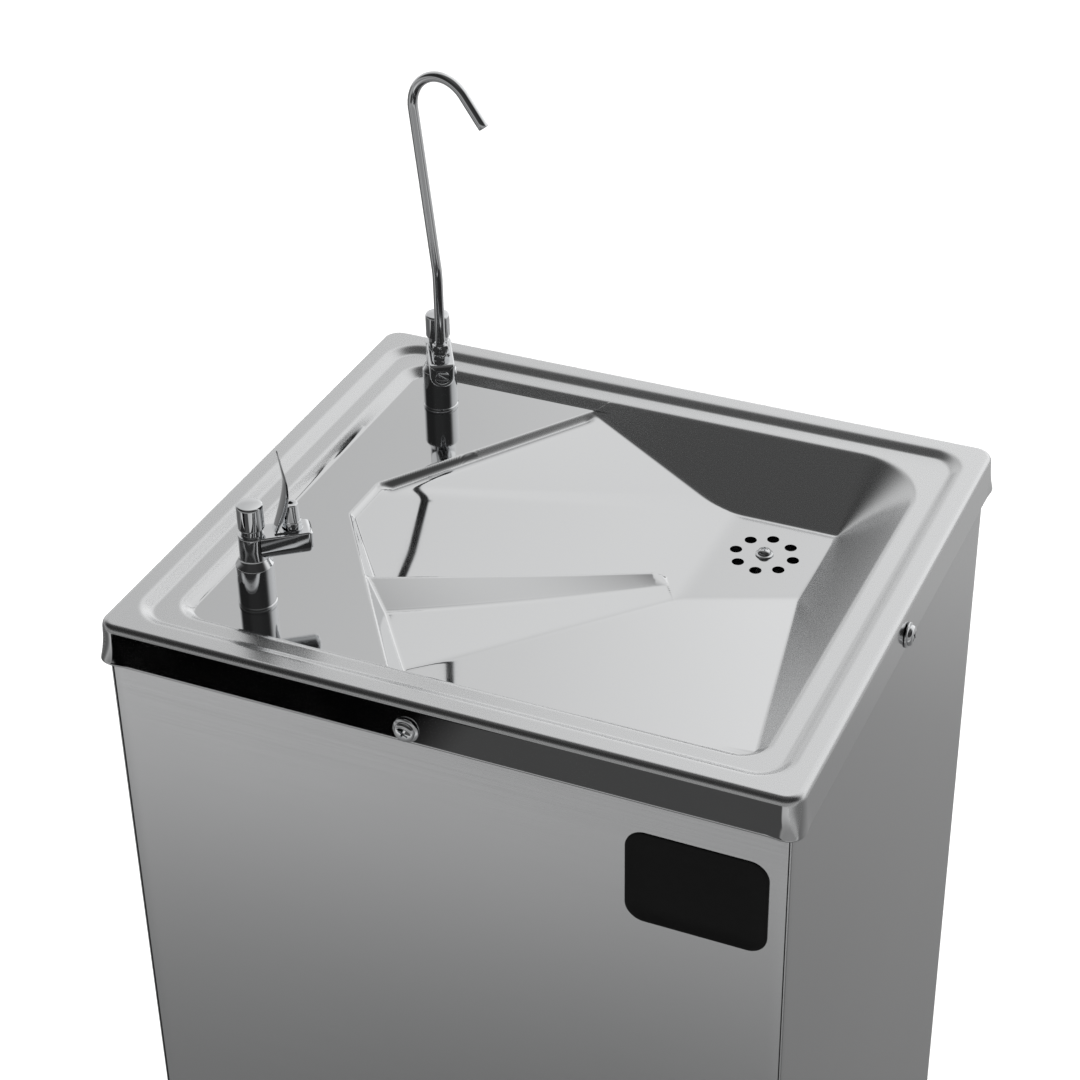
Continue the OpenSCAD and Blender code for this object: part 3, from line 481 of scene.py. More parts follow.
# satin where the sheet was brushed (rim, ledge, walls), mirror bright on the deck and the floor panels
vx, vy, vz = bv[:, 0], bv[:, 1], bv[:, 2] - RIM
ledge = 1 - ease((-vz - 4.2) / 2.2)
slope = 1 - np.clip((bn[:, 2] - 0.90) / 0.06, 0, 1)
inner = ((vx > 60) | (vy > 60)) & (sd_rect(vx, vy, 139.0, 122.5, 9.0) < 0)
satin = np.maximum(np.where(sd_rect(vx, vy, 139.0, 122.5, 9.0) > 0, 1.0, ledge), np.where(inner, ease(slope), 0))
skirt_f = (vz < -3.0) & (vy < -HD + 1.6) & (np.abs(vx) < HW - 6)
skirt_o = (vz < -3.0) & ((np.abs(vx) > HW - 1.6) | (np.abs(vy) > HD - 1.6))
satin = np.where(skirt_f, 0.0, np.where(skirt_o, 0.3, satin))
at = basin_ob.data.attributes.new("satin", "FLOAT", "POINT")
at.data.foreach_set("value", satin.astype(np.float32))


# ------------------------------------------------------------------ small hardware
def recessed_head(r, recess, depth, dome, skirt_h, turn=0.0, edge_r=0.5):
    """Round screw head along +Z with a sunk slot or cross; z = 0 at the underside of the head."""
    m = 48
    pts = [(r * 0.999 * math.cos(2 * math.pi * k / m), r * 0.999 * math.sin(2 * math.pi * k / m)) for k in range(m)]
    cons = [(k, (k + 1) % m) for k in range(m)]
    c, s = math.cos(math.radians(turn)), math.sin(math.radians(turn))
    rec = [(c * x - s * y, s * x + c * y) for x, y in recess]
    b = len(pts)
    pts += rec
    cons += [(b + k, b + (k + 1) % len(rec)) for k in range(len(rec))]
    for rr in (0.35, 0.6, 0.8, 0.92):
        for k in range(m):
            a = 2 * math.pi * (k + 0.5) / m
            x, y = r * rr * math.cos(a), r * rr * math.sin(a)
            if not in_poly(x, y, rec, 0.12):
                pts.append((x, y))
    ov, oe, of, orig, _, _ = delaunay_2d_cdt([Vector(p) for p in pts], cons, [], 1, 1e-7)
    def top(x, y):
        q = math.hypot(x, y) / r
        z = skirt_h + dome * (1 - q * q)
        if q > 1 - edge_r / r:
            t = (q * r - (r - edge_r)) / edge_r
            z -= edge_r * (1 - math.sqrt(max(0, 1 - t * t)))
        return z
    verts = [(v.x, v.y, top(v.x, v.y)) for v in ov]
    faces, low, lift = [], {}, {}
    owner = {}
    for i, o in enumerate(orig):
        for j in o:
            owner[j] = i
    for f in of:
        cx = sum(ov[i].x for i in f) / len(f)
        cy = sum(ov[i].y for i in f) / len(f)
        if in_poly(cx, cy, rec, 0):
            g = []
            for i in f:
                if i not in low:
                    low[i] = len(verts)
                    verts.append((ov[i].x * 0.9, ov[i].y * 0.9, skirt_h - depth))
                g.append(low[i])
            faces.append(tuple(g))
        else:
            faces.append(tuple(f))
    n = len(rec)
    for k in range(n):
        i, j = owner[b + k], owner[b + (k + 1) % n]
        faces.append((i, j, low[j], low[i]))
    base = len(verts)
    ring = [owner[k] for k in range(m)]
    verts += [(r * math.cos(2 * math.pi * k / m), r * math.sin(2 * math.pi * k / m), 0.0) for k in range(m)]
    for k in range(m):
        l = (k + 1) % m
        faces.append((base + k, base + l, ring[l], ring[k]))
    return np.array(verts), faces


def in_poly(x, y, poly, grow):
    inside = False
    n = len(poly)
    near = 1e9
    for i in range(n):
        x0, y0 = poly[i]
        x1, y1 = poly[(i + 1) % n]
        if (y0 > y) != (y1 > y) and x < (x1 - x0) * (y - y0) / (y1 - y0) + x0:
            inside = not inside
        dx, dy = x1 - x0, y1 - y0
        t = max(0, min(1, ((x - x0) * dx + (y - y0) * dy) / (dx * dx + dy * dy)))
        near = min(near, math.hypot(x - x0 - t * dx, y - y0 - t * dy))
    return inside or near < grow


def cross_shape(a, w):
    return [(a, -w), (a, w), (w, w), (w, a), (-w, a), (-w, w), (-a, w), (-a, -w), (-w, -w), (-w, -a), (w, -a), (w, -w)]


def slot_shape(a, w):
    return [(a, -w), (a, w), (-a, w), (-a, -w)]


def hexnut(r, z0, z1, ch=0.5, turn=0.0):
    """Chamfered hexagon prism along +Z with softened edges."""
    rows = []
    n = 6
    sub = 6
    for z, k in ((z0, 0), (z0 + ch * 0.6, 1), (z1 - ch * 0.6, 1), (z1, 0)):
        row = []
        for i in range(n * sub):
            a = 2 * math.pi * i / (n * sub)
            local = (a % (math.pi / 3)) - math.pi / 6
            flat = r * math.cos(math.pi / 6) / math.cos(local)
            rad = min(flat, r * 0.985) if k else min(flat, r * 0.91)
            row.append((rad * math.cos(a + math.radians(turn)), rad * math.sin(a + math.radians(turn)), z))
        rows.append(row)
    verts = [v for row in rows for v in row]
    m = n * sub
    faces = []
    for j in range(3):
        for i in range(m):
            l = (i + 1) % m
            faces.append((j * m + i, j * m + l, (j + 1) * m + l, (j + 1) * m + i))
    faces.append(tuple(range(m - 1, -1, -1)))
    faces.append(tuple(3 * m + i for i in range(m)))
    return np.array(verts), faces


def orient(verts, origin, direction):
    """Turns local +Z to the given axis direction."""
    z = np.array(direction, float)
    z /= np.linalg.norm(z)
    ref = np.array([0, 0, 1.0]) if abs(z[2]) < 0.9 else np.array([1.0, 0, 0])
    x = np.cross(ref, z)
    x /= np.linalg.norm(x)
    y = np.cross(z, x)
    v = np.asarray(verts, float)
    return np.asarray(origin, float) + v[:, :1] * x + v[:, 1:2] * y + v[:, 2:3] * z


def bolt_head(origin, direction, r=4.9, flange=6.1, turn=0.0):
    fv, ff = lathe([(0, 0.0), (flange * 0.8, 0.0), (flange - 0.15, 0.05), (flange, 0.3), (flange - 0.1, 0.62), (flange - 0.5, 0.85), (r + 0.35, 1.0), (r + 0.1, 1.12), (r - 0.4, 1.15)], 64)
    hv, hf = recessed_head(r, cross_shape(2.5, 0.5), 1.2, 0.55, 1.75, turn, 1.1)
    hv[:, 2] += 1.0
    v, f = join([(fv, ff), (hv, hf)])
    return orient(v, origin, direction), f


skirt_z = RIM - 14.0
parts = [bolt_head((-11, -HD + 0.05, skirt_z), (0, -1, 0), turn=62), bolt_head((-11, HD - 0.05, skirt_z), (0, 1, 0), turn=12),
         bolt_head((HW - 0.05, 0, skirt_z), (1, 0, 0), turn=38), bolt_head((-HW + 0.05, 0, skirt_z), (-1, 0, 0), turn=75)]
v, f = join(parts)
screws = make("skirt_screw_heads", v, f, sharp_angle=38)
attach(screws, "cabinet")
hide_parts("skirt_screws")

parts = []
for sx in (-1, 1):
    for k, zz in enumerate((100, 480, 860)):
        parts.append(bolt_head((sx * (CW - 9), CD + SHEET - 0.05, zz), (0, 1, 0), 3.4, 3.75, 17 * k + 23 * sx))
    for yy in (-100, 100):
        parts.append(bolt_head((sx * (CW - 0.05), yy, 36.0), (sx, 0, 0), 3.4, 3.75, 31 * sx + yy))
v, f = join(parts)
pscrews = make("panel_screw_heads", v, f, sharp_angle=38)
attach(pscrews, "cabinet")
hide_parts("panel_screws")

# drain screw: washer-faced dome with a cross recess
dv, df = lathe([(0, 0.02), (4.3, 0.02), (4.45, 0.25), (4.3, 0.6), (3.9, 0.8), (3.3, 0.9)], 64)
hv, hf = recessed_head(3.4, cross_shape(1.7, 0.35), 1.0, 1.1, 1.5, 20, 1.0)
hv[:, 2] += 0.7
sv, sf = lathe([(0, -23.5), (1.5, -23.5), (1.9, -22.8), (1.9, 0.1), (0, 0.1)], 32)
v, f = join([(dv, df), (hv, hf), (sv, sf)])
dscrew = make("drain_dome_screw", v + np.array([DX, DY, RIM + PAN]), f, sharp_angle=38)
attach(dscrew, "cabinet")
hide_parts("drain_screw")


# ------------------------------------------------------------------ taps
def tap_parts(which, origin, turn, body):
    tr = 8.75
    prof = [(0, 0.0), (tr + 0.15, 0.0), (tr + 0.25, 0.25), (tr + 0.25, 0.9), (tr + 0.05, 1.1), (tr - 0.25, 1.3), (tr - 0.25, 1.6), (tr, 1.85), (tr, 5.0), (tr, 12.0), (tr, 19.0),
            (tr, 20.6)] + arc(tr - 0.6, 20.9, 0.6, 0, 50, 5) + [(7.35, 23.6), (6.95, 24.2), (6.6, 24.7)] + [(6.5, 25.3), (6.5, 30.0), (6.5, 35.9)] + arc(5.9, 36.4, 0.6, 0, 90, 6) + \
           [(5.3, 37.05), (5.0, 37.3), (5.0, 38.5), (5.0, 41.8), (2.1, 42.0), (2.1, 41.0), (0, 41.0)]
    bv_, bf_ = lathe(prof, 72)
    # arm: flat top, straight sides, round belly, softened end
    hw_, rr = 6.3, 6.3
    sect = []
    for k in range(25):
        a = math.radians(180 + 180 * k / 24)
        sect.append((rr * math.cos(a), ARM_Z - 0.2 + rr * math.sin(a)))
    for k in range(7):
        a = math.radians(0 + 90 * k / 6)
        sect.append((hw_ - 0.7 + 0.7 * math.cos(a), ARM_T - 0.7 + 0.7 * math.sin(a)))
    for k in range(7):
        a = math.radians(90 + 90 * k / 6)
        sect.append((-hw_ + 0.7 + 0.7 * math.cos(a), ARM_T - 0.7 + 0.7 * math.sin(a)))
    sect = np.array(sect)
    n = len(sect)
    cen = np.array([0.0, ARM_Z])
    av, af = [], []
    stations = [(3.0, 0.0), (10.0, 0.0), (18.0, 0.0), (24.6, 0.0), (25.2, 0.05), (25.8, 0.28), (26.3, 0.62), (26.75, 1.05), (27.0, 1.45)]
    for x, shrink in stations:
        for y, z in sect:
            d = np.array([y, z]) - cen
            L = np.linalg.norm(d)
            q = cen + d * (1 - shrink / L)
            av.append((x, q[0], q[1]))
    for j in range(len(stations) - 1):
        for k in range(n):
            l = (k + 1) % n
            af.append((j * n + k, (j + 1) * n + k, (j + 1) * n + l, j * n + l))
    last = (len(stations) - 1) * n
    ang = [math.atan2(z - ARM_Z, y) for y, z in sect]
    for x, r in ((27.0, 4.1), (26.9, 3.8), (26.6, 3.65), (24.5, 3.6)):
        b = len(av)
        av += [(x, r * math.cos(a), ARM_Z + r * math.sin(a)) for a in ang]
        for k in range(n):
            l = (k + 1) % n
            af.append((last + k, b + k, b + l, last + l))
        last = b
    c = len(av)
    av.append((24.5, 0, ARM_Z))
    af += [(last + k, c, last + (k + 1) % n) for k in range(n)]
    v, f = join([(bv_, bf_), (np.array(av), af)])
    ob = make(which + "_casting", place(v, origin, turn), f, sharp_angle=34)
    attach(ob, "cabinet")
    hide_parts(which + "_body")
    # button with a rolled lip and softly domed face
    prof = [(5.25, 40.6), (5.6, 40.42), (5.95, 40.45), (6.12, 40.7), (6.15, 41.2), (6.15, 46.0), (6.15, 51.4)] + arc(5.0, 51.5, 1.15, 0, 78, 8) + [(4.2, 52.78), (2.6, 52.95), (1.2, 53.02), (0, 53.04)]
    v, f = lathe([(5.2, 44.0), (5.22, 42.0)] + prof, 72)
    cap = make(which + "_push_cap", place(v, origin, turn), f, sharp_angle=50)
    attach(cap, body)
    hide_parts(which + "_button")
    return ob, cap


JO = (-TAPX, -TAPY, RIM + DECK)
FO = (-TAPX, TAPY, RIM + DECK)
jet_ob, jet_cap = tap_parts("jet_tap", JO, JET_DIR, "jet_button")
fil_ob, fil_cap = tap_parts("filler_tap", FO, FILL_DIR, "filler_button")


def regulator(which, origin, turn, body, slot_turn):
    v, f = recessed_head(3.5, slot_shape(2.7, 0.42), 0.9, 0.25, 5.4, slot_turn, 0.35)
    d = np.array([math.cos(math.radians(turn)), math.sin(math.radians(turn)), 0.0])
    o = np.array(origin) + d * 21.6 + np.array([0, 0, ARM_Z])
    ob = make(which + "_flow_screw", orient(v, o, d), f, sharp_angle=38)
    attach(ob, body)
    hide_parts(which + "_regulator")


regulator("jet_tap", JO, JET_DIR, "jet_regulator", 25)
regulator("filler_tap", FO, FILL_DIR, "filler_regulator", -35)

# jet nozzle on the arm
nv, nf = lathe([(0, 4.2), (4.2, 4.2), (4.15, 4.5), (3.95, 4.7), (3.78, 6.0), (3.45, 10.0), (3.36, 12.6)] + arc(2.76, 12.7, 0.6, 5, 85, 5) + [(1.7, 13.4), (1.35, 13.35), (1.15, 13.1), (1.15, 9.0), (0, 9.0)], 56)
hv, hf = hexnut(4.6, 0.8, 4.3, 0.5, JET_DIR)
v, f = join([(nv, nf), (hv, hf)])
jd = np.array([math.cos(math.radians(JET_DIR)), math.sin(math.radians(JET_DIR)), 0.0])
noz = make("jet_outlet_nozzle", v + np.array(JO) + jd * JET_X + np.array([0, 0, ARM_T]), f, sharp_angle=34)
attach(noz, "cabinet")
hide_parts("jet_nozzle")


# leaf guard: bowed sheet that narrows to a point
def leaf():
    nt, ns = 46, 14
    th = 0.55
    def centre(t):
        z = 41.2 * t
        r = 10.2 + 5.9 * math.sin(math.pi * 0.5 * min(z / 26.5, 1.0)) if z < 26.5 else 16.1 - 1.75 * ((z - 26.5) / 14.7) ** 1.3
        return r, z
    def half(t):
        k = [(0.0, 4.2), (0.10, 5.2), (0.22, 6.9), (0.36, 8.0), (0.50, 8.05), (0.65, 7.1), (0.80, 5.0), (0.91, 2.6), (1.0, 0.12)]
        return float(np.interp(t, [a for a, _ in k], [b for _, b in k]))
    verts, faces = [], []
    for side in (0, 1):
        for i in range(nt + 1):
            t = i / nt
            r, z = centre(t)
            r2, z2 = centre(min(1, t + 0.01))
            r1, z1 = centre(max(0, t - 0.01))
            dr, dz = r2 - r1, z2 - z1
            L = math.hypot(dr, dz)
            nr, nz = dz / L, -dr / L
            w = half(t)
            for j in range(ns + 1):
                s_ = -1 + 2 * j / ns
                y = w * s_
                cup = 0.018 * y * y
                k = th * (1 if side else 0) * math.sqrt(max(0.0, 1 - s_ ** 6)) 
                verts.append((r + cup - nr * k, y, z - nz * k))
    m = (nt + 1) * (ns + 1)
    for i in range(nt):
        for j in range(ns):
            a, b = i * (ns + 1) + j, i * (ns + 1) + j + 1
            c, d = b + ns + 1, a + ns + 1
            faces.append((a, b, c, d))
            faces.append((m + a, m + d, m + c, m + b))
    for i in range(nt):
        for j in (0, ns):
            a, d = i * (ns + 1) + j, (i + 1) * (ns + 1) + j
            faces.append((a, d, m + d, m + a) if j == 0 else (a, m + a, m + d, d))
    for j in range(ns):
        a, b = j, j + 1
        faces.append((a, m + a, m + b, b))
        a, b = nt * (ns + 1) + j, nt * (ns + 1) + j + 1
        faces.append((a, b, m + b, m + a))
    return np.array(verts), faces


lv, lf_ = leaf()
# foot of the guard, clamped under the nozzle
fv, ff = lathe([(0, 0.0), (4.75, 0.0), (4.9, 0.15), (4.9, 0.65), (4.75, 0.8), (0, 0.8)], 56)
fv[:, 0] += JET_X
tv = np.array([(x, y, z) for z in (0.0, 0.8) for x, y in ((9.7, -4.2), (JET_X, -4.2), (JET_X, 4.2), (9.7, 4.2))])
tf = [(0, 3, 2, 1), (4, 5, 6, 7), (0, 1, 5, 4), (1, 2, 6, 5), (2, 3, 7, 6), (3, 0, 4, 7)]
v, f = join([(lv, lf_), (fv, ff), (tv, tf)])
guard = make("mouth_guard_leaf", place(v + np.array([0, 0, ARM_T]), JO, JET_DIR), f, sharp_angle=40)
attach(guard, "cabinet")
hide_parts("mouth_guard")


# gooseneck
def neck_path():
    lean, gz, glen, hook, r1, r2 = 7.0, 80.0, 82.5, 147.0, 60.0, 17.5
    pts = [(0, 33.5 + k * (gz - 33.5) / 14) for k in range(15)]
    for k in range(1, 8):
        a = math.radians(lean * k / 7)
        pts.append((-r1 + r1 * math.cos(a), gz + r1 * math.sin(a)))
    x0, z0 = pts[-1]
    L = math.radians(lean)
    for k in range(1, 20):
        pts.append((x0 - math.sin(L) * glen * k / 19, z0 + math.cos(L) * glen * k / 19))
    tx, tz = pts[-1]
    mx, mz = tx + r2 * math.cos(L), tz + r2 * math.sin(L)
    for k in range(1, 61):
        t = math.radians(-lean + hook * k / 60)
        pts.append((mx - r2 * math.cos(t), mz + r2 * math.sin(t)))
    ex, ez = pts[-1]
    e = math.radians(hook - lean)
    for k in range(1, 8):
        pts.append((ex + math.sin(e) * 17.3 * k / 7, ez + math.cos(e) * 17.3 * k / 7))
    return [(x, 0.0, z) for x, z in pts]


v, f = sweep(neck_path(), 2.5, 36, inner=1.75)
fd = np.array([math.cos(math.radians(FILL_DIR)), math.sin(math.radians(FILL_DIR)), 0.0])
spout_o = np.array(FO) + fd * ARM_X
neck = make("gooseneck_tube", place(v, spout_o, SPOUT_DIR), f, sharp_angle=50)
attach(neck, "gooseneck")
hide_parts("gooseneck_spout")

parts = [hexnut(4.9, 0.0, 3.2, 0.55, FILL_DIR + 12), lathe([(0, 3.1), (3.9, 3.1), (3.9, 4.7), (0, 4.7)], 48), hexnut(4.7, 4.5, 8.0, 0.6, FILL_DIR - 9),
         lathe([(0, 7.9), (3.6, 7.9), (3.5, 8.12), (2.9, 8.15), (2.6, 8.0), (2.55, 7.0), (0, 7.0)], 48)]
v, f = join(parts)
nut = make("spout_hex_nut", v + spout_o + np.array([0, 0, ARM_T]), f, sharp_angle=34)
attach(nut, "cabinet")
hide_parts("spout_nut")


# ------------------------------------------------------------------ cabinet sheets
def sheet(name, node, at, u, w, width, z0, z1, bow, er=0.8, ret=12.0, phase=0.0):
    """Flat panel with rolled vertical edges. at: point at the panel's middle on its outer face, u: along, w: outward."""
    nu, nz = 60, 120
    xs = [-width / 2 + er + (width - 2 * er) * k / nu for k in range(nu + 1)]
    cols = [(-width / 2, -ret)] + [(-width / 2 + er - er * math.cos(math.radians(a)), -er + er * math.sin(math.radians(a))) for a in (0, 15, 30, 45, 60, 75)]
    cols += [(x, 0.0) for x in xs]
    cols += [(-c[0], c[1]) for c in reversed(cols[:7])]
    verts, faces = [], []
    m = len(cols)
    zs = [z0] + [z0 + (z1 - z0) * k / nz for k in range(1, nz)] + [z1]
    for z in zs:
        for c, d in cols:
            q = (c / (width / 2)) if abs(c) < width / 2 else 1.0
            p = (z - (z0 + z1) / 2) / ((z1 - z0) / 2)
            soft = max(0.0, 1 - q * q) * max(0.0, 1 - p * p)
            wave = bow * soft * (0.55 + 0.3 * math.sin(2.1 * q + 1.3 + phase) * math.cos(3.0 * p + 0.4 + phase) + 0.15 * math.sin(5.3 * p - 1.7 * q + phase))
            verts.append(np.array(at) + np.array(u) * c + np.array(w) * (d - wave) + np.array([0, 0, z]))
    for i in range(len(zs) - 1):
        for j in range(m - 1):
            faces.append((i * m + j, i * m + j + 1, (i + 1) * m + j + 1, (i + 1) * m + j))
    # sheet thickness at the lower and upper edges
    for row, sgn in ((0, 1), (len(zs) - 1, -1)):
        base = len(verts)
        for j in range(m):
            verts.append(verts[row * m + j] - np.array(w) * 0.8 + np.array([0, 0, 0.0]))
        for j in range(m - 1):
            q = (row * m + j, base + j, base + j + 1, row * m + j + 1)
            faces.append(q if sgn > 0 else tuple(reversed(q)))
    ob = make(name, np.array(verts), faces, sharp_angle=60)
    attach(ob, "cabinet")
    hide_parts(node)
    return ob


front = sheet("front_door_sheet", "front_panel", (0, -CD, 0), (1, 0, 0), (0, -1, 0), 2 * (CW - SHEET - 0.35), 18, 957.5, 0.35, 0.7, 11.0)
right = sheet("right_side_sheet", "right_side_panel", (CW, 0, 0), (0, 1, 0), (1, 0, 0), 2 * CD, 18, 957.5, 0.3, 0.7, 0.85, 1.0)
left = sheet("left_side_sheet", "left_side_panel", (-CW, 0, 0), (0, -1, 0), (-1, 0, 0), 2 * CD, 18, 957.5, 0.3, 0.7, 0.85, 2.0)


# label: blank plate with clipped corners and a raised border
def label():
    a, b, c = 32.5, 24.5, 9.0
    pts = []
    for cx, cy, a0 in ((a - c, -b + c, 270), (a - c, b - c, 0), (-a + c, b - c, 90), (-a + c, -b + c, 180)):
        pts += [(cx + c * math.cos(math.radians(a0 + 90 * k / 14)), cy + c * math.sin(math.radians(a0 + 90 * k / 14))) for k in range(15)]
    pts = np.array(pts)
    n = len(pts)
    verts, faces = [], []
    rows = [(1.0, 0.0, 0), (1.0, 0.35, 0), (0.992, 0.47, 0), (0.965, 0.5, 0), (0.945, 0.47, 0), (0.935, 0.38, 0), (0.6, 0.38, 0), (0.2, 0.38, 0)]
    for k, h, _ in rows:
        verts += [(x * k, y * k, h) for x, y in pts]
    for j in range(len(rows) - 1):
        for i in range(n):
            l = (i + 1) % n
            faces.append((j * n + i, j * n + l, (j + 1) * n + l, (j + 1) * n + i))
    faces.append(tuple((len(rows) - 1) * n + i for i in range(n)))
    faces.append(tuple(range(n - 1, -1, -1)))
    return np.array(verts), faces


v, f = label()
v = np.column_stack([v[:, 0] + 121.5, -CD - v[:, 2] - 0.02, v[:, 1] + RIM - 64.5])
lab = make("blank_front_plate", v, f, sharp_angle=35)
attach(lab, "cabinet")
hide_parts("front_label")

# rubber feet: turned profile with a grip ring
parts = []
for sx in (-1, 1):
    for sy in (-1, 1):
        fv, ff = lathe([(7.5, 7.0), (7.5, 0.4), (8.0, 0.0), (11.0, 0.0), (11.4, 0.8), (13.2, 0.8), (13.6, 0.0), (16.6, 0.0), (17.2, 0.4), (17.6, 1.4), (18.6, 3.6), (19.0, 4.6), (19.0, 9.0), (18.7, 9.6),
                        (18.7, 10.4), (19.0, 11.0), (19.0, 16.4), (18.5, 18.2), (17.4, 19.9), (3.3, 20.0), (3.3, 7.0), (7.5, 7.0)], 56)
        parts.append((fv + np.array([sx * 132.0, sy * 115.0, 0]), ff))
v, f = join(parts)
feet = make("rubber_foot_pads", v, f, sharp_angle=35)
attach(feet, "cabinet")
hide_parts("rubber_feet")


# ------------------------------------------------------------------ materials
def material(name, color, metallic, rough):
    m = bpy.data.materials.new(name)
    m.use_nodes = True
    nt = m.node_tree
    b = nt.nodes["Principled BSDF"]
    b.inputs["Base Color"].default_value = (*color, 1)
    b.inputs["Metallic"].default_value = metallic
    b.inputs["Roughness"].default_value = rough
    return m, nt, b


def node(nt, kind, **vals):
    n = nt.nodes.new(kind)
    for k, v_ in vals.items():
        if k in n.inputs:
            n.inputs[k].default_value = v_
        else:
            setattr(n, k, v_)
    return n


def coords(nt, scale):
    tc = node(nt, "ShaderNodeTexCoord")
    mp = node(nt, "ShaderNodeMapping")
    mp.inputs["Scale"].default_value = scale
    nt.links.new(tc.outputs["Object"], mp.inputs["Vector"])
    return mp.outputs["Vector"]


def noise(nt, vec, scale, detail=3.0, rough=0.5):
    n = node(nt, "ShaderNodeTexNoise")
    n.inputs["Scale"].default_value = scale
    n.inputs["Detail"].default_value = detail
    n.inputs["Roughness"].default_value = rough
    nt.links.new(vec, n.inputs["Vector"])
    return n.outputs["Fac"]


def ramp(nt, fac, lo, hi, a=0.3, b=0.7):
    r = node(nt, "ShaderNodeMapRange")
    r.inputs["From Min"].default_value = a
    r.inputs["From Max"].default_value = b
    r.inputs["To Min"].default_value = lo
    r.inputs["To Max"].default_value = hi
    nt.links.new(fac, r.inputs["Value"])
    return r.outputs["Result"]


def bump(nt, b, height, dist, strength=1.0):
    n = node(nt, "ShaderNodeBump")
    n.inputs["Distance"].default_value = dist
    n.inputs["Strength"].default_value = strength
    nt.links.new(height, n.inputs["Height"])
    nt.links.new(n.outputs["Normal"], b.inputs["Normal"])
    return n


def mul(nt, a, b_, op="MULTIPLY"):
    n = node(nt, "ShaderNodeMath")
    n.operation = op
    for k, x in enumerate((a, b_)):
        if isinstance(x, (int, float)):
            n.inputs[k].default_value = x
        else:
            nt.links.new(x, n.inputs[k])
    return n.outputs[0]


def tint(nt, b, fac, c0, c1):
    mx = node(nt, "ShaderNodeMix")
    mx.data_type = "RGBA"
    mx.inputs[6].default_value = (*c0, 1)
    mx.inputs[7].default_value = (*c1, 1)
    nt.links.new(fac, mx.inputs[0])
    nt.links.new(mx.outputs[2], b.inputs["Base Color"])


def give(ob, m):
    ob.data.materials.clear()
    ob.data.materials.append(m)


# pressed stainless basin: polished floor and deck, satin rim and walls
m_basin, nt, b = material("pressed_stainless", (0.66, 0.665, 0.67), 1.0, 0.08)
attr = node(nt, "ShaderNodeAttribute")
attr.attribute_name = "satin"
sat = attr.outputs["Fac"]
vec = coords(nt, (1, 1, 1))
cloud = noise(nt, vec, 38, 4, 0.55)
fine = noise(nt, coords(nt, (1600, 1600, 1600)), 1.0, 2, 0.6)
base_r = ramp(nt, cloud, 0.035, 0.065)
sat_r = ramp(nt, fine, 0.265, 0.285)
mx = node(nt, "ShaderNodeMix")
nt.links.new(sat, mx.inputs[0])
nt.links.new(base_r, mx.inputs[2])
nt.links.new(sat_r, mx.inputs[3])
nt.links.new(mx.outputs[0], b.inputs["Roughness"])
tint(nt, b, sat, (0.62, 0.625, 0.63), (0.65, 0.655, 0.66))
wav = noise(nt, vec, 9, 2, 0.5)
bump(nt, b, mul(nt, wav, 1.0), 0.00012, 0.5)
give(basin_ob, m_basin)

# cabinet sheet: fine horizontal brushing
def brushed(name, color, r0, r1, scale):
    m, nt, b = material(name, color, 1.0, 0.3)
    lines = noise(nt, coords(nt, scale), 1.0, 3, 0.65)
    patch = noise(nt, coords(nt, (1, 1, 1)), 7, 3, 0.5)
    nt.links.new(mul(nt, ramp(nt, lines, r0, r1), ramp(nt, patch, 0.94, 1.06)), b.inputs["Roughness"])
    tint(nt, b, lines, tuple(c * 0.95 for c in color), color)
    bump(nt, b, lines, 0.00002, 0.25)
    return m


m_front = brushed("cabinet_sheet_front", (0.60, 0.605, 0.61), 0.15, 0.20, (6, 6, 1500))
m_side = brushed("cabinet_sheet_side", (0.60, 0.605, 0.61), 0.18, 0.24, (6, 6, 1500))
give(front, m_front)
give(right, m_side)
give(left, m_side)

# chrome castings
m_chrome, nt, b = material("polished_chrome", (0.70, 0.71, 0.72), 1.0, 0.05)
sm = noise(nt, coords(nt, (1, 1, 1)), 420, 3, 0.6)
nt.links.new(ramp(nt, sm, 0.03, 0.07), b.inputs["Roughness"])
bump(nt, b, noise(nt, coords(nt, (1, 1, 1)), 160, 2, 0.5), 0.00004, 0.25)
for ob in (jet_ob, jet_cap, fil_ob, fil_cap, noz, guard, neck, nut, screws, pscrews, dscrew):
    give(ob, m_chrome)
for ob in bpy.data.objects:
    if ob.name.endswith("_flow_screw"):
        give(ob, m_chrome)


def plastic(name, color, rough, grain=900):
    m, nt, b = material(name, color, 0.0, rough)
    g = noise(nt, coords(nt, (1, 1, 1)), grain, 3, 0.6)
    nt.links.new(ramp(nt, g, rough * 0.85, rough * 1.15), b.inputs["Roughness"])
    tint(nt, b, g, tuple(c * 0.88 for c in color), tuple(min(1, c * 1.1) for c in color))
    bump(nt, b, g, 0.00005, 0.3)
    return m


m_black = plastic("black_moulding", (0.012, 0.012, 0.012), 0.42)
m_plate = plastic("black_enamel_plate", (0.002, 0.002, 0.002), 0.35, 300)
m_plate.node_tree.nodes["Principled BSDF"].inputs["Specular IOR Level"].default_value = 0.15
m_rubber = plastic("black_rubber", (0.015, 0.015, 0.015), 0.7, 1200)
m_white = plastic("white_moulding", (0.75, 0.75, 0.73), 0.4)
m_blue = plastic("blue_moulding", (0.05, 0.13, 0.35), 0.3)
m_foam = plastic("white_foam", (0.82, 0.83, 0.84), 0.85, 260)
m_clear = plastic("natural_tube", (0.62, 0.66, 0.70), 0.25)
m_paint = plastic("black_enamel", (0.010, 0.010, 0.012), 0.25, 500)
m_zinc = brushed("zinc_sheet", (0.52, 0.53, 0.54), 0.30, 0.45, (300, 300, 300))
m_brass, nt, b = material("turned_brass", (0.72, 0.53, 0.24), 1.0, 0.2)
bump(nt, b, noise(nt, coords(nt, (20, 1500, 20)), 1.0, 2, 0.5), 0.00003, 0.4)
m_copper, nt, b = material("drawn_copper", (0.72, 0.36, 0.22), 1.0, 0.28)
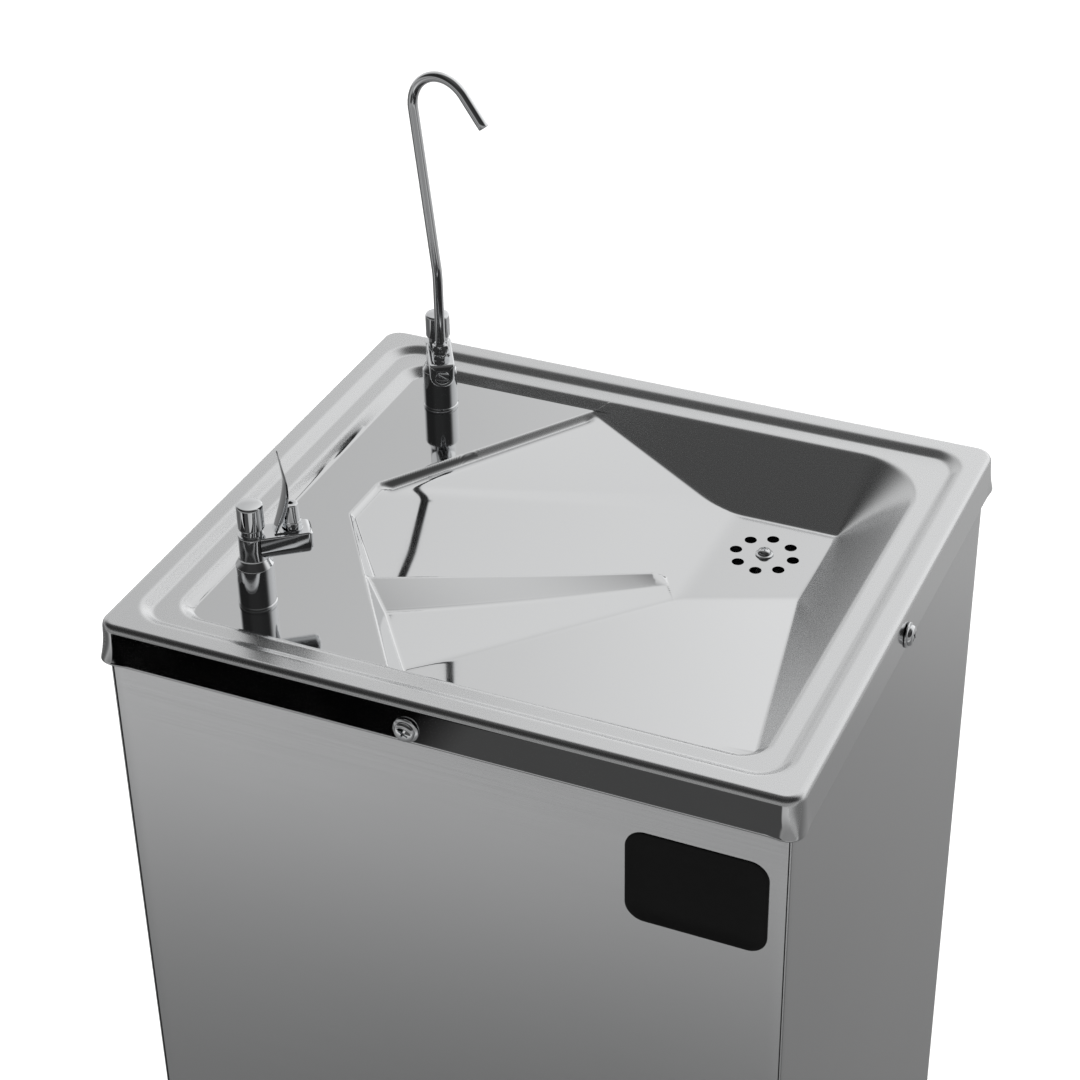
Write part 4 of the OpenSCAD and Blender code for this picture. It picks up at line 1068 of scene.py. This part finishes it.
bump(nt, b, noise(nt, coords(nt, (1, 1, 1)), 200, 2, 0.5), 0.00003, 0.3)
m_spring, nt, b = material("spring_wire", (0.55, 0.56, 0.58), 1.0, 0.22)
bump(nt, b, noise(nt, coords(nt, (1, 1, 1)), 600, 2, 0.5), 0.00002, 0.3)
give(lab, m_plate)
give(feet, m_rubber)

slots = {s_["node"]: s_["material_slot"] for s_ in frame["record"]["subparts"]}
by_slot = {"mirror_steel": m_basin, "satin_steel": m_side, "zinc_steel": m_zinc, "rubber": m_rubber, "chrome": m_chrome, "spring_steel": m_spring, "brass": m_brass,
           "black_plastic": m_black, "white_plastic": m_white, "foam": m_foam, "blue_plastic": m_blue, "tube_plastic": m_clear, "copper": m_copper, "black_paint": m_paint}
for name, ob in frame["nodes"].items():
    give(ob, m_black if name == "drain_cup" else by_slot[slots[name]])
    if name in ("rear_panel", "drain_outlet", "thermostat_knob", "water_inlet_fitting", "cord_gland", "base_tray", "base_bolts"):
        bv_ = ob.modifiers.new("soft_edges", "BEVEL")
        bv_.width = 0.0003 if name != "rear_panel" else 0.00015
        bv_.segments = 2
        bv_.limit_method = "ANGLE"
        bv_.angle_limit = math.radians(40)

# return springs inside the taps, attached to the cabinet
for which, o_, turn_, jn_ in (("jet_tap", JO, JET_DIR, "jet_button_press"), ("filler_tap", FO, FILL_DIR, "filler_button_press")):
    helix = [(3.2 * math.cos(2 * math.pi * k / 24), 3.2 * math.sin(2 * math.pi * k / 24), -3.6 + 13.2 * k / 132) for k in range(133)]
    v, f = sweep(helix, 0.4, 10)
    coil = make(which + "_coil_spring", place(v, o_, turn_), f)
    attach(coil, "cabinet")
    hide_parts(which + "_spring")
    give(coil, m_spring)
    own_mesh(coil)

# ------------------------------------------------------------------ stage
n = 64
R = 9.0
fv = [(0, 0, -0.0005)]
for r in (0.5, 1.2, 2.5, 5.0, R):
    fv += [(r * math.cos(2 * math.pi * k / n), r * math.sin(2 * math.pi * k / n), -0.0005) for k in range(n)]
ff = [(0, 1 + k, 1 + (k + 1) % n) for k in range(n)]
for j in range(4):
    ff += [(1 + j * n + k, 1 + (j + 1) * n + k, 1 + (j + 1) * n + (k + 1) % n, 1 + j * n + (k + 1) % n) for k in range(n)]
me = bpy.data.meshes.new("studio_floor")
me.from_pydata(fv, [], ff)
floor = bpy.data.objects.new("studio_floor", me)
bpy.context.scene.collection.objects.link(floor)
m_floor, nt, b = material("pale_floor", (0.88, 0.88, 0.88), 0.0, 0.9)
b.inputs["Specular IOR Level"].default_value = 0.0
give(floor, m_floor)

world = bpy.data.worlds.new("studio")
bpy.context.scene.world = world
world.use_nodes = True
bg = world.node_tree.nodes["Background"]
bg.inputs["Color"].default_value = (0.92, 0.92, 0.92, 1)
bg.inputs["Strength"].default_value = 0.95


def area(name, loc, target, sx, sy, power):
    li = bpy.data.lights.new(name, "AREA")
    li.shape = "RECTANGLE"
    li.size, li.size_y = sx, sy
    li.energy = power
    ob = bpy.data.objects.new(name, li)
    bpy.context.scene.collection.objects.link(ob)
    ob.location = loc
    d = Vector(target) - Vector(loc)
    ob.rotation_euler = d.to_track_quat("-Z", "Y").to_euler()
    ob.visible_glossy = False
    return ob


area("back_soft", (-0.8, 2.6, 2.8), (0, 0.2, 0.6), 2.6, 1.6, 60)
area("left_soft", (-2.6, -0.8, 2.4), (0, 0, 0.9), 1.4, 1.6, 30)
area("right_soft", (2.6, 0.2, 2.2), (0, 0, 0.8), 1.4, 1.8, 30)


# painted reflections: sheets that glow but are no lamps and are seen only in the metal's reflections: a bright band
# behind for a lit sweep, dark zones in front and overhead for black cloth, and a floor glow with a painted shadow of
# the object
def painted_reflection_sheet(name, verts, faces):
    me_ = bpy.data.meshes.new(name)
    me_.from_pydata(verts, [], faces)
    ob = bpy.data.objects.new(name, me_)
    bpy.context.scene.collection.objects.link(ob)
    ob.visible_camera = False
    ob.visible_diffuse = False
    ob.visible_transmission = False
    ob.visible_volume_scatter = False
    ob.visible_shadow = False
    m_ = bpy.data.materials.new(name)
    m_.use_nodes = True
    nt_ = m_.node_tree
    nt_.nodes.remove(nt_.nodes["Principled BSDF"])
    em = nt_.nodes.new("ShaderNodeEmission")
    nt_.links.new(em.outputs[0], nt_.nodes["Material Output"].inputs["Surface"])
    give(ob, m_)
    return ob, nt_, em


def curve(nt_, value, points, lo, hi):
    """Grey level as a piecewise linear function of a value between lo and hi."""
    mr = node(nt_, "ShaderNodeMapRange")
    mr.inputs["From Min"].default_value = lo
    mr.inputs["From Max"].default_value = hi
    nt_.links.new(value, mr.inputs["Value"])
    cr_ = node(nt_, "ShaderNodeValToRGB")
    el_ = cr_.color_ramp.elements
    pts_ = sorted(((p_ - lo) / (hi - lo), g_) for p_, g_ in points)
    el_[0].position, el_[0].color = pts_[0][0], (pts_[0][1],) * 3 + (1,)
    el_[1].position, el_[1].color = pts_[-1][0], (pts_[-1][1],) * 3 + (1,)
    for p_, g_ in pts_[1:-1]:
        e_ = el_.new(p_)
        e_.color = (g_, g_, g_, 1)
    nt_.links.new(mr.outputs["Result"], cr_.inputs["Fac"])
    return cr_.outputs["Color"]


def split(nt_, scale):
    sep_ = node(nt_, "ShaderNodeSeparateXYZ")
    nt_.links.new(coords(nt_, scale), sep_.inputs[0])
    return sep_.outputs["X"], sep_.outputs["Y"], sep_.outputs["Z"]


DR, DZ = 8.6, 0.96
dv_, df_ = [], []
seg_a, seg_e = 72, 28
for j in range(seg_e + 1):
    e_ = math.radians(-6.2 + 96.2 * j / seg_e)
    for k in range(seg_a):
        a_ = 2 * math.pi * k / seg_a
        dv_.append((DR * math.cos(e_) * math.sin(a_), DR * math.cos(e_) * math.cos(a_), DR * math.sin(e_)))
for j in range(seg_e):
    for k in range(seg_a):
        l_ = (k + 1) % seg_a
        df_.append((j * seg_a + k, j * seg_a + l_, (j + 1) * seg_a + l_, (j + 1) * seg_a + k))
# painted reflection: a glowing dome seen only in reflections; its strength by direction paints a bright sweep behind, a
# grey band near the horizon and dark in front and overhead
dome, nt, em = painted_reflection_sheet("light_tent", dv_, df_)
dome.location = (0, 0, DZ)
sx_, sy_, sz_ = split(nt, (1 / DR, 1 / DR, 1 / DR))
sweep_ = curve(nt, sy_, [(-0.10, 0.04), (0.05, 0.11), (0.22, 0.50), (0.36, 0.92), (0.50, 1.0)], -1, 1)
across = curve(nt, sx_, [(-0.52, 0.66), (-0.40, 0.74), (-0.30, 0.88), (-0.15, 1.0), (0.20, 1.0), (0.45, 1.0), (0.75, 0.8)], -1, 1)
low = curve(nt, sz_, [(-0.10, 0.42), (0.06, 0.40), (0.20, 0.10), (0.34, 0.0)], -1, 1)
high = curve(nt, sz_, [(0.20, 1.22), (0.36, 1.18), (0.50, 1.0), (0.80, 1.0), (0.86, 0.88), (0.93, 0.56), (0.97, 0.40), (1.0, 0.35)], -1, 1)
over_ = curve(nt, sz_, [(0.76, 0.0), (0.90, 0.09), (1.0, 0.09)], -1, 1)
prod = mul(nt, mul(nt, sweep_, across), high)
nt.links.new(mul(nt, mul(nt, prod, low, "MAXIMUM"), over_, "MAXIMUM"), em.inputs["Strength"])

gf, gq = [], []
step_ = 36
for j in range(step_ + 1):
    for k in range(step_ + 1):
        gf.append((-9 + 18 * k / step_, -9 + 18 * j / step_, -0.0002))
for j in range(step_):
    for k in range(step_):
        a_ = j * (step_ + 1) + k
        gq.append((a_, a_ + 1, a_ + step_ + 2, a_ + step_ + 1))
ground, nt, em = painted_reflection_sheet("lit_ground", gf, gq)
gx_, gy_, gz_ = split(nt, (1, 1, 1))
# painted shadow: the floor glow is darker close to the object (y about -0.9 to 0.75) where its shadow falls, with a
# brighter band in front; seen only in reflections
run = curve(nt, gy_, [(-5.0, 0.36), (-2.6, 0.34), (-2.1, 0.40), (-1.36, 0.72), (-1.31, 0.80), (-1.20, 0.66), (-0.92, 0.34), (-0.75, 0.24), (-0.3, 0.20), (0.4, 0.24), (0.75, 0.30), (1.16, 0.37), (1.45, 0.52), (2.2, 0.60)], -6, 6)
acr = curve(nt, gx_, [(-1.6, 0.65), (-1.05, 1.22), (-0.95, 1.22), (-0.2, 0.90), (0.3, 0.92)], -3, 3)
# painted dark patch in front of the object (near black left of x -0.67, dark grey right of it), mirrored as black in
# the front skirt
gap_y = curve(nt, gy_, [(-2.2, 0.0), (-2.0, 1.0), (-1.36, 1.0), (-1.31, 0.0)], -6, 6)
gap_x = curve(nt, gx_, [(-0.67, 0.001), (-0.61, 0.08)], -3, 3)
win_x = curve(nt, gx_, [(-1.40, 0.0), (-1.25, 1.0), (0.15, 1.0), (0.30, 0.0)], -3, 3)
patch = mul(nt, gap_y, win_x)
floor_glow_with_painted_shadow = mul(nt, mul(nt, mul(nt, run, acr), mul(nt, 1.0, patch, "SUBTRACT")), mul(nt, patch, gap_x), "ADD")
nt.links.new(floor_glow_with_painted_shadow, em.inputs["Strength"])

# ------------------------------------------------------------------ camera
CAM_F, CAM_AZ, CAM_EL, CAM_ROLL, CAM_T = 2528.81, 24.31, 33.27, -1.11, (12.34, -3.83, 1190.19)
az, el, ro = map(math.radians, (CAM_AZ, CAM_EL, CAM_ROLL))
back = np.array([math.sin(az) * math.cos(el), -math.cos(az) * math.cos(el), math.sin(el)])
rgt = np.array([math.cos(az), math.sin(az), 0.0])
upv = np.cross(back, rgt)
rgt2 = rgt * math.cos(ro) + upv * math.sin(ro)
up2 = -rgt * math.sin(ro) + upv * math.cos(ro)
Rm = np.array([rgt2, -up2, -back])
C = -Rm.T @ np.array(CAM_T)
cam = bpy.data.cameras.new("camera")
cam.sensor_width = 36.0
cam.lens = CAM_F * 36.0 / 1080.0
cam.clip_start = 0.05
cam.clip_end = 50
cam_ob = bpy.data.objects.new("camera", cam)
bpy.context.scene.collection.objects.link(cam_ob)
loc = (C + np.array([0, 0, RIM])) * MM
cam_ob.matrix_world = Matrix(((rgt2[0], up2[0], back[0], loc[0]), (rgt2[1], up2[1], back[1], loc[1]), (rgt2[2], up2[2], back[2], loc[2]), (0, 0, 0, 1)))
bpy.context.scene.camera = cam_ob
bpy.context.scene.view_settings.view_transform = "Standard"
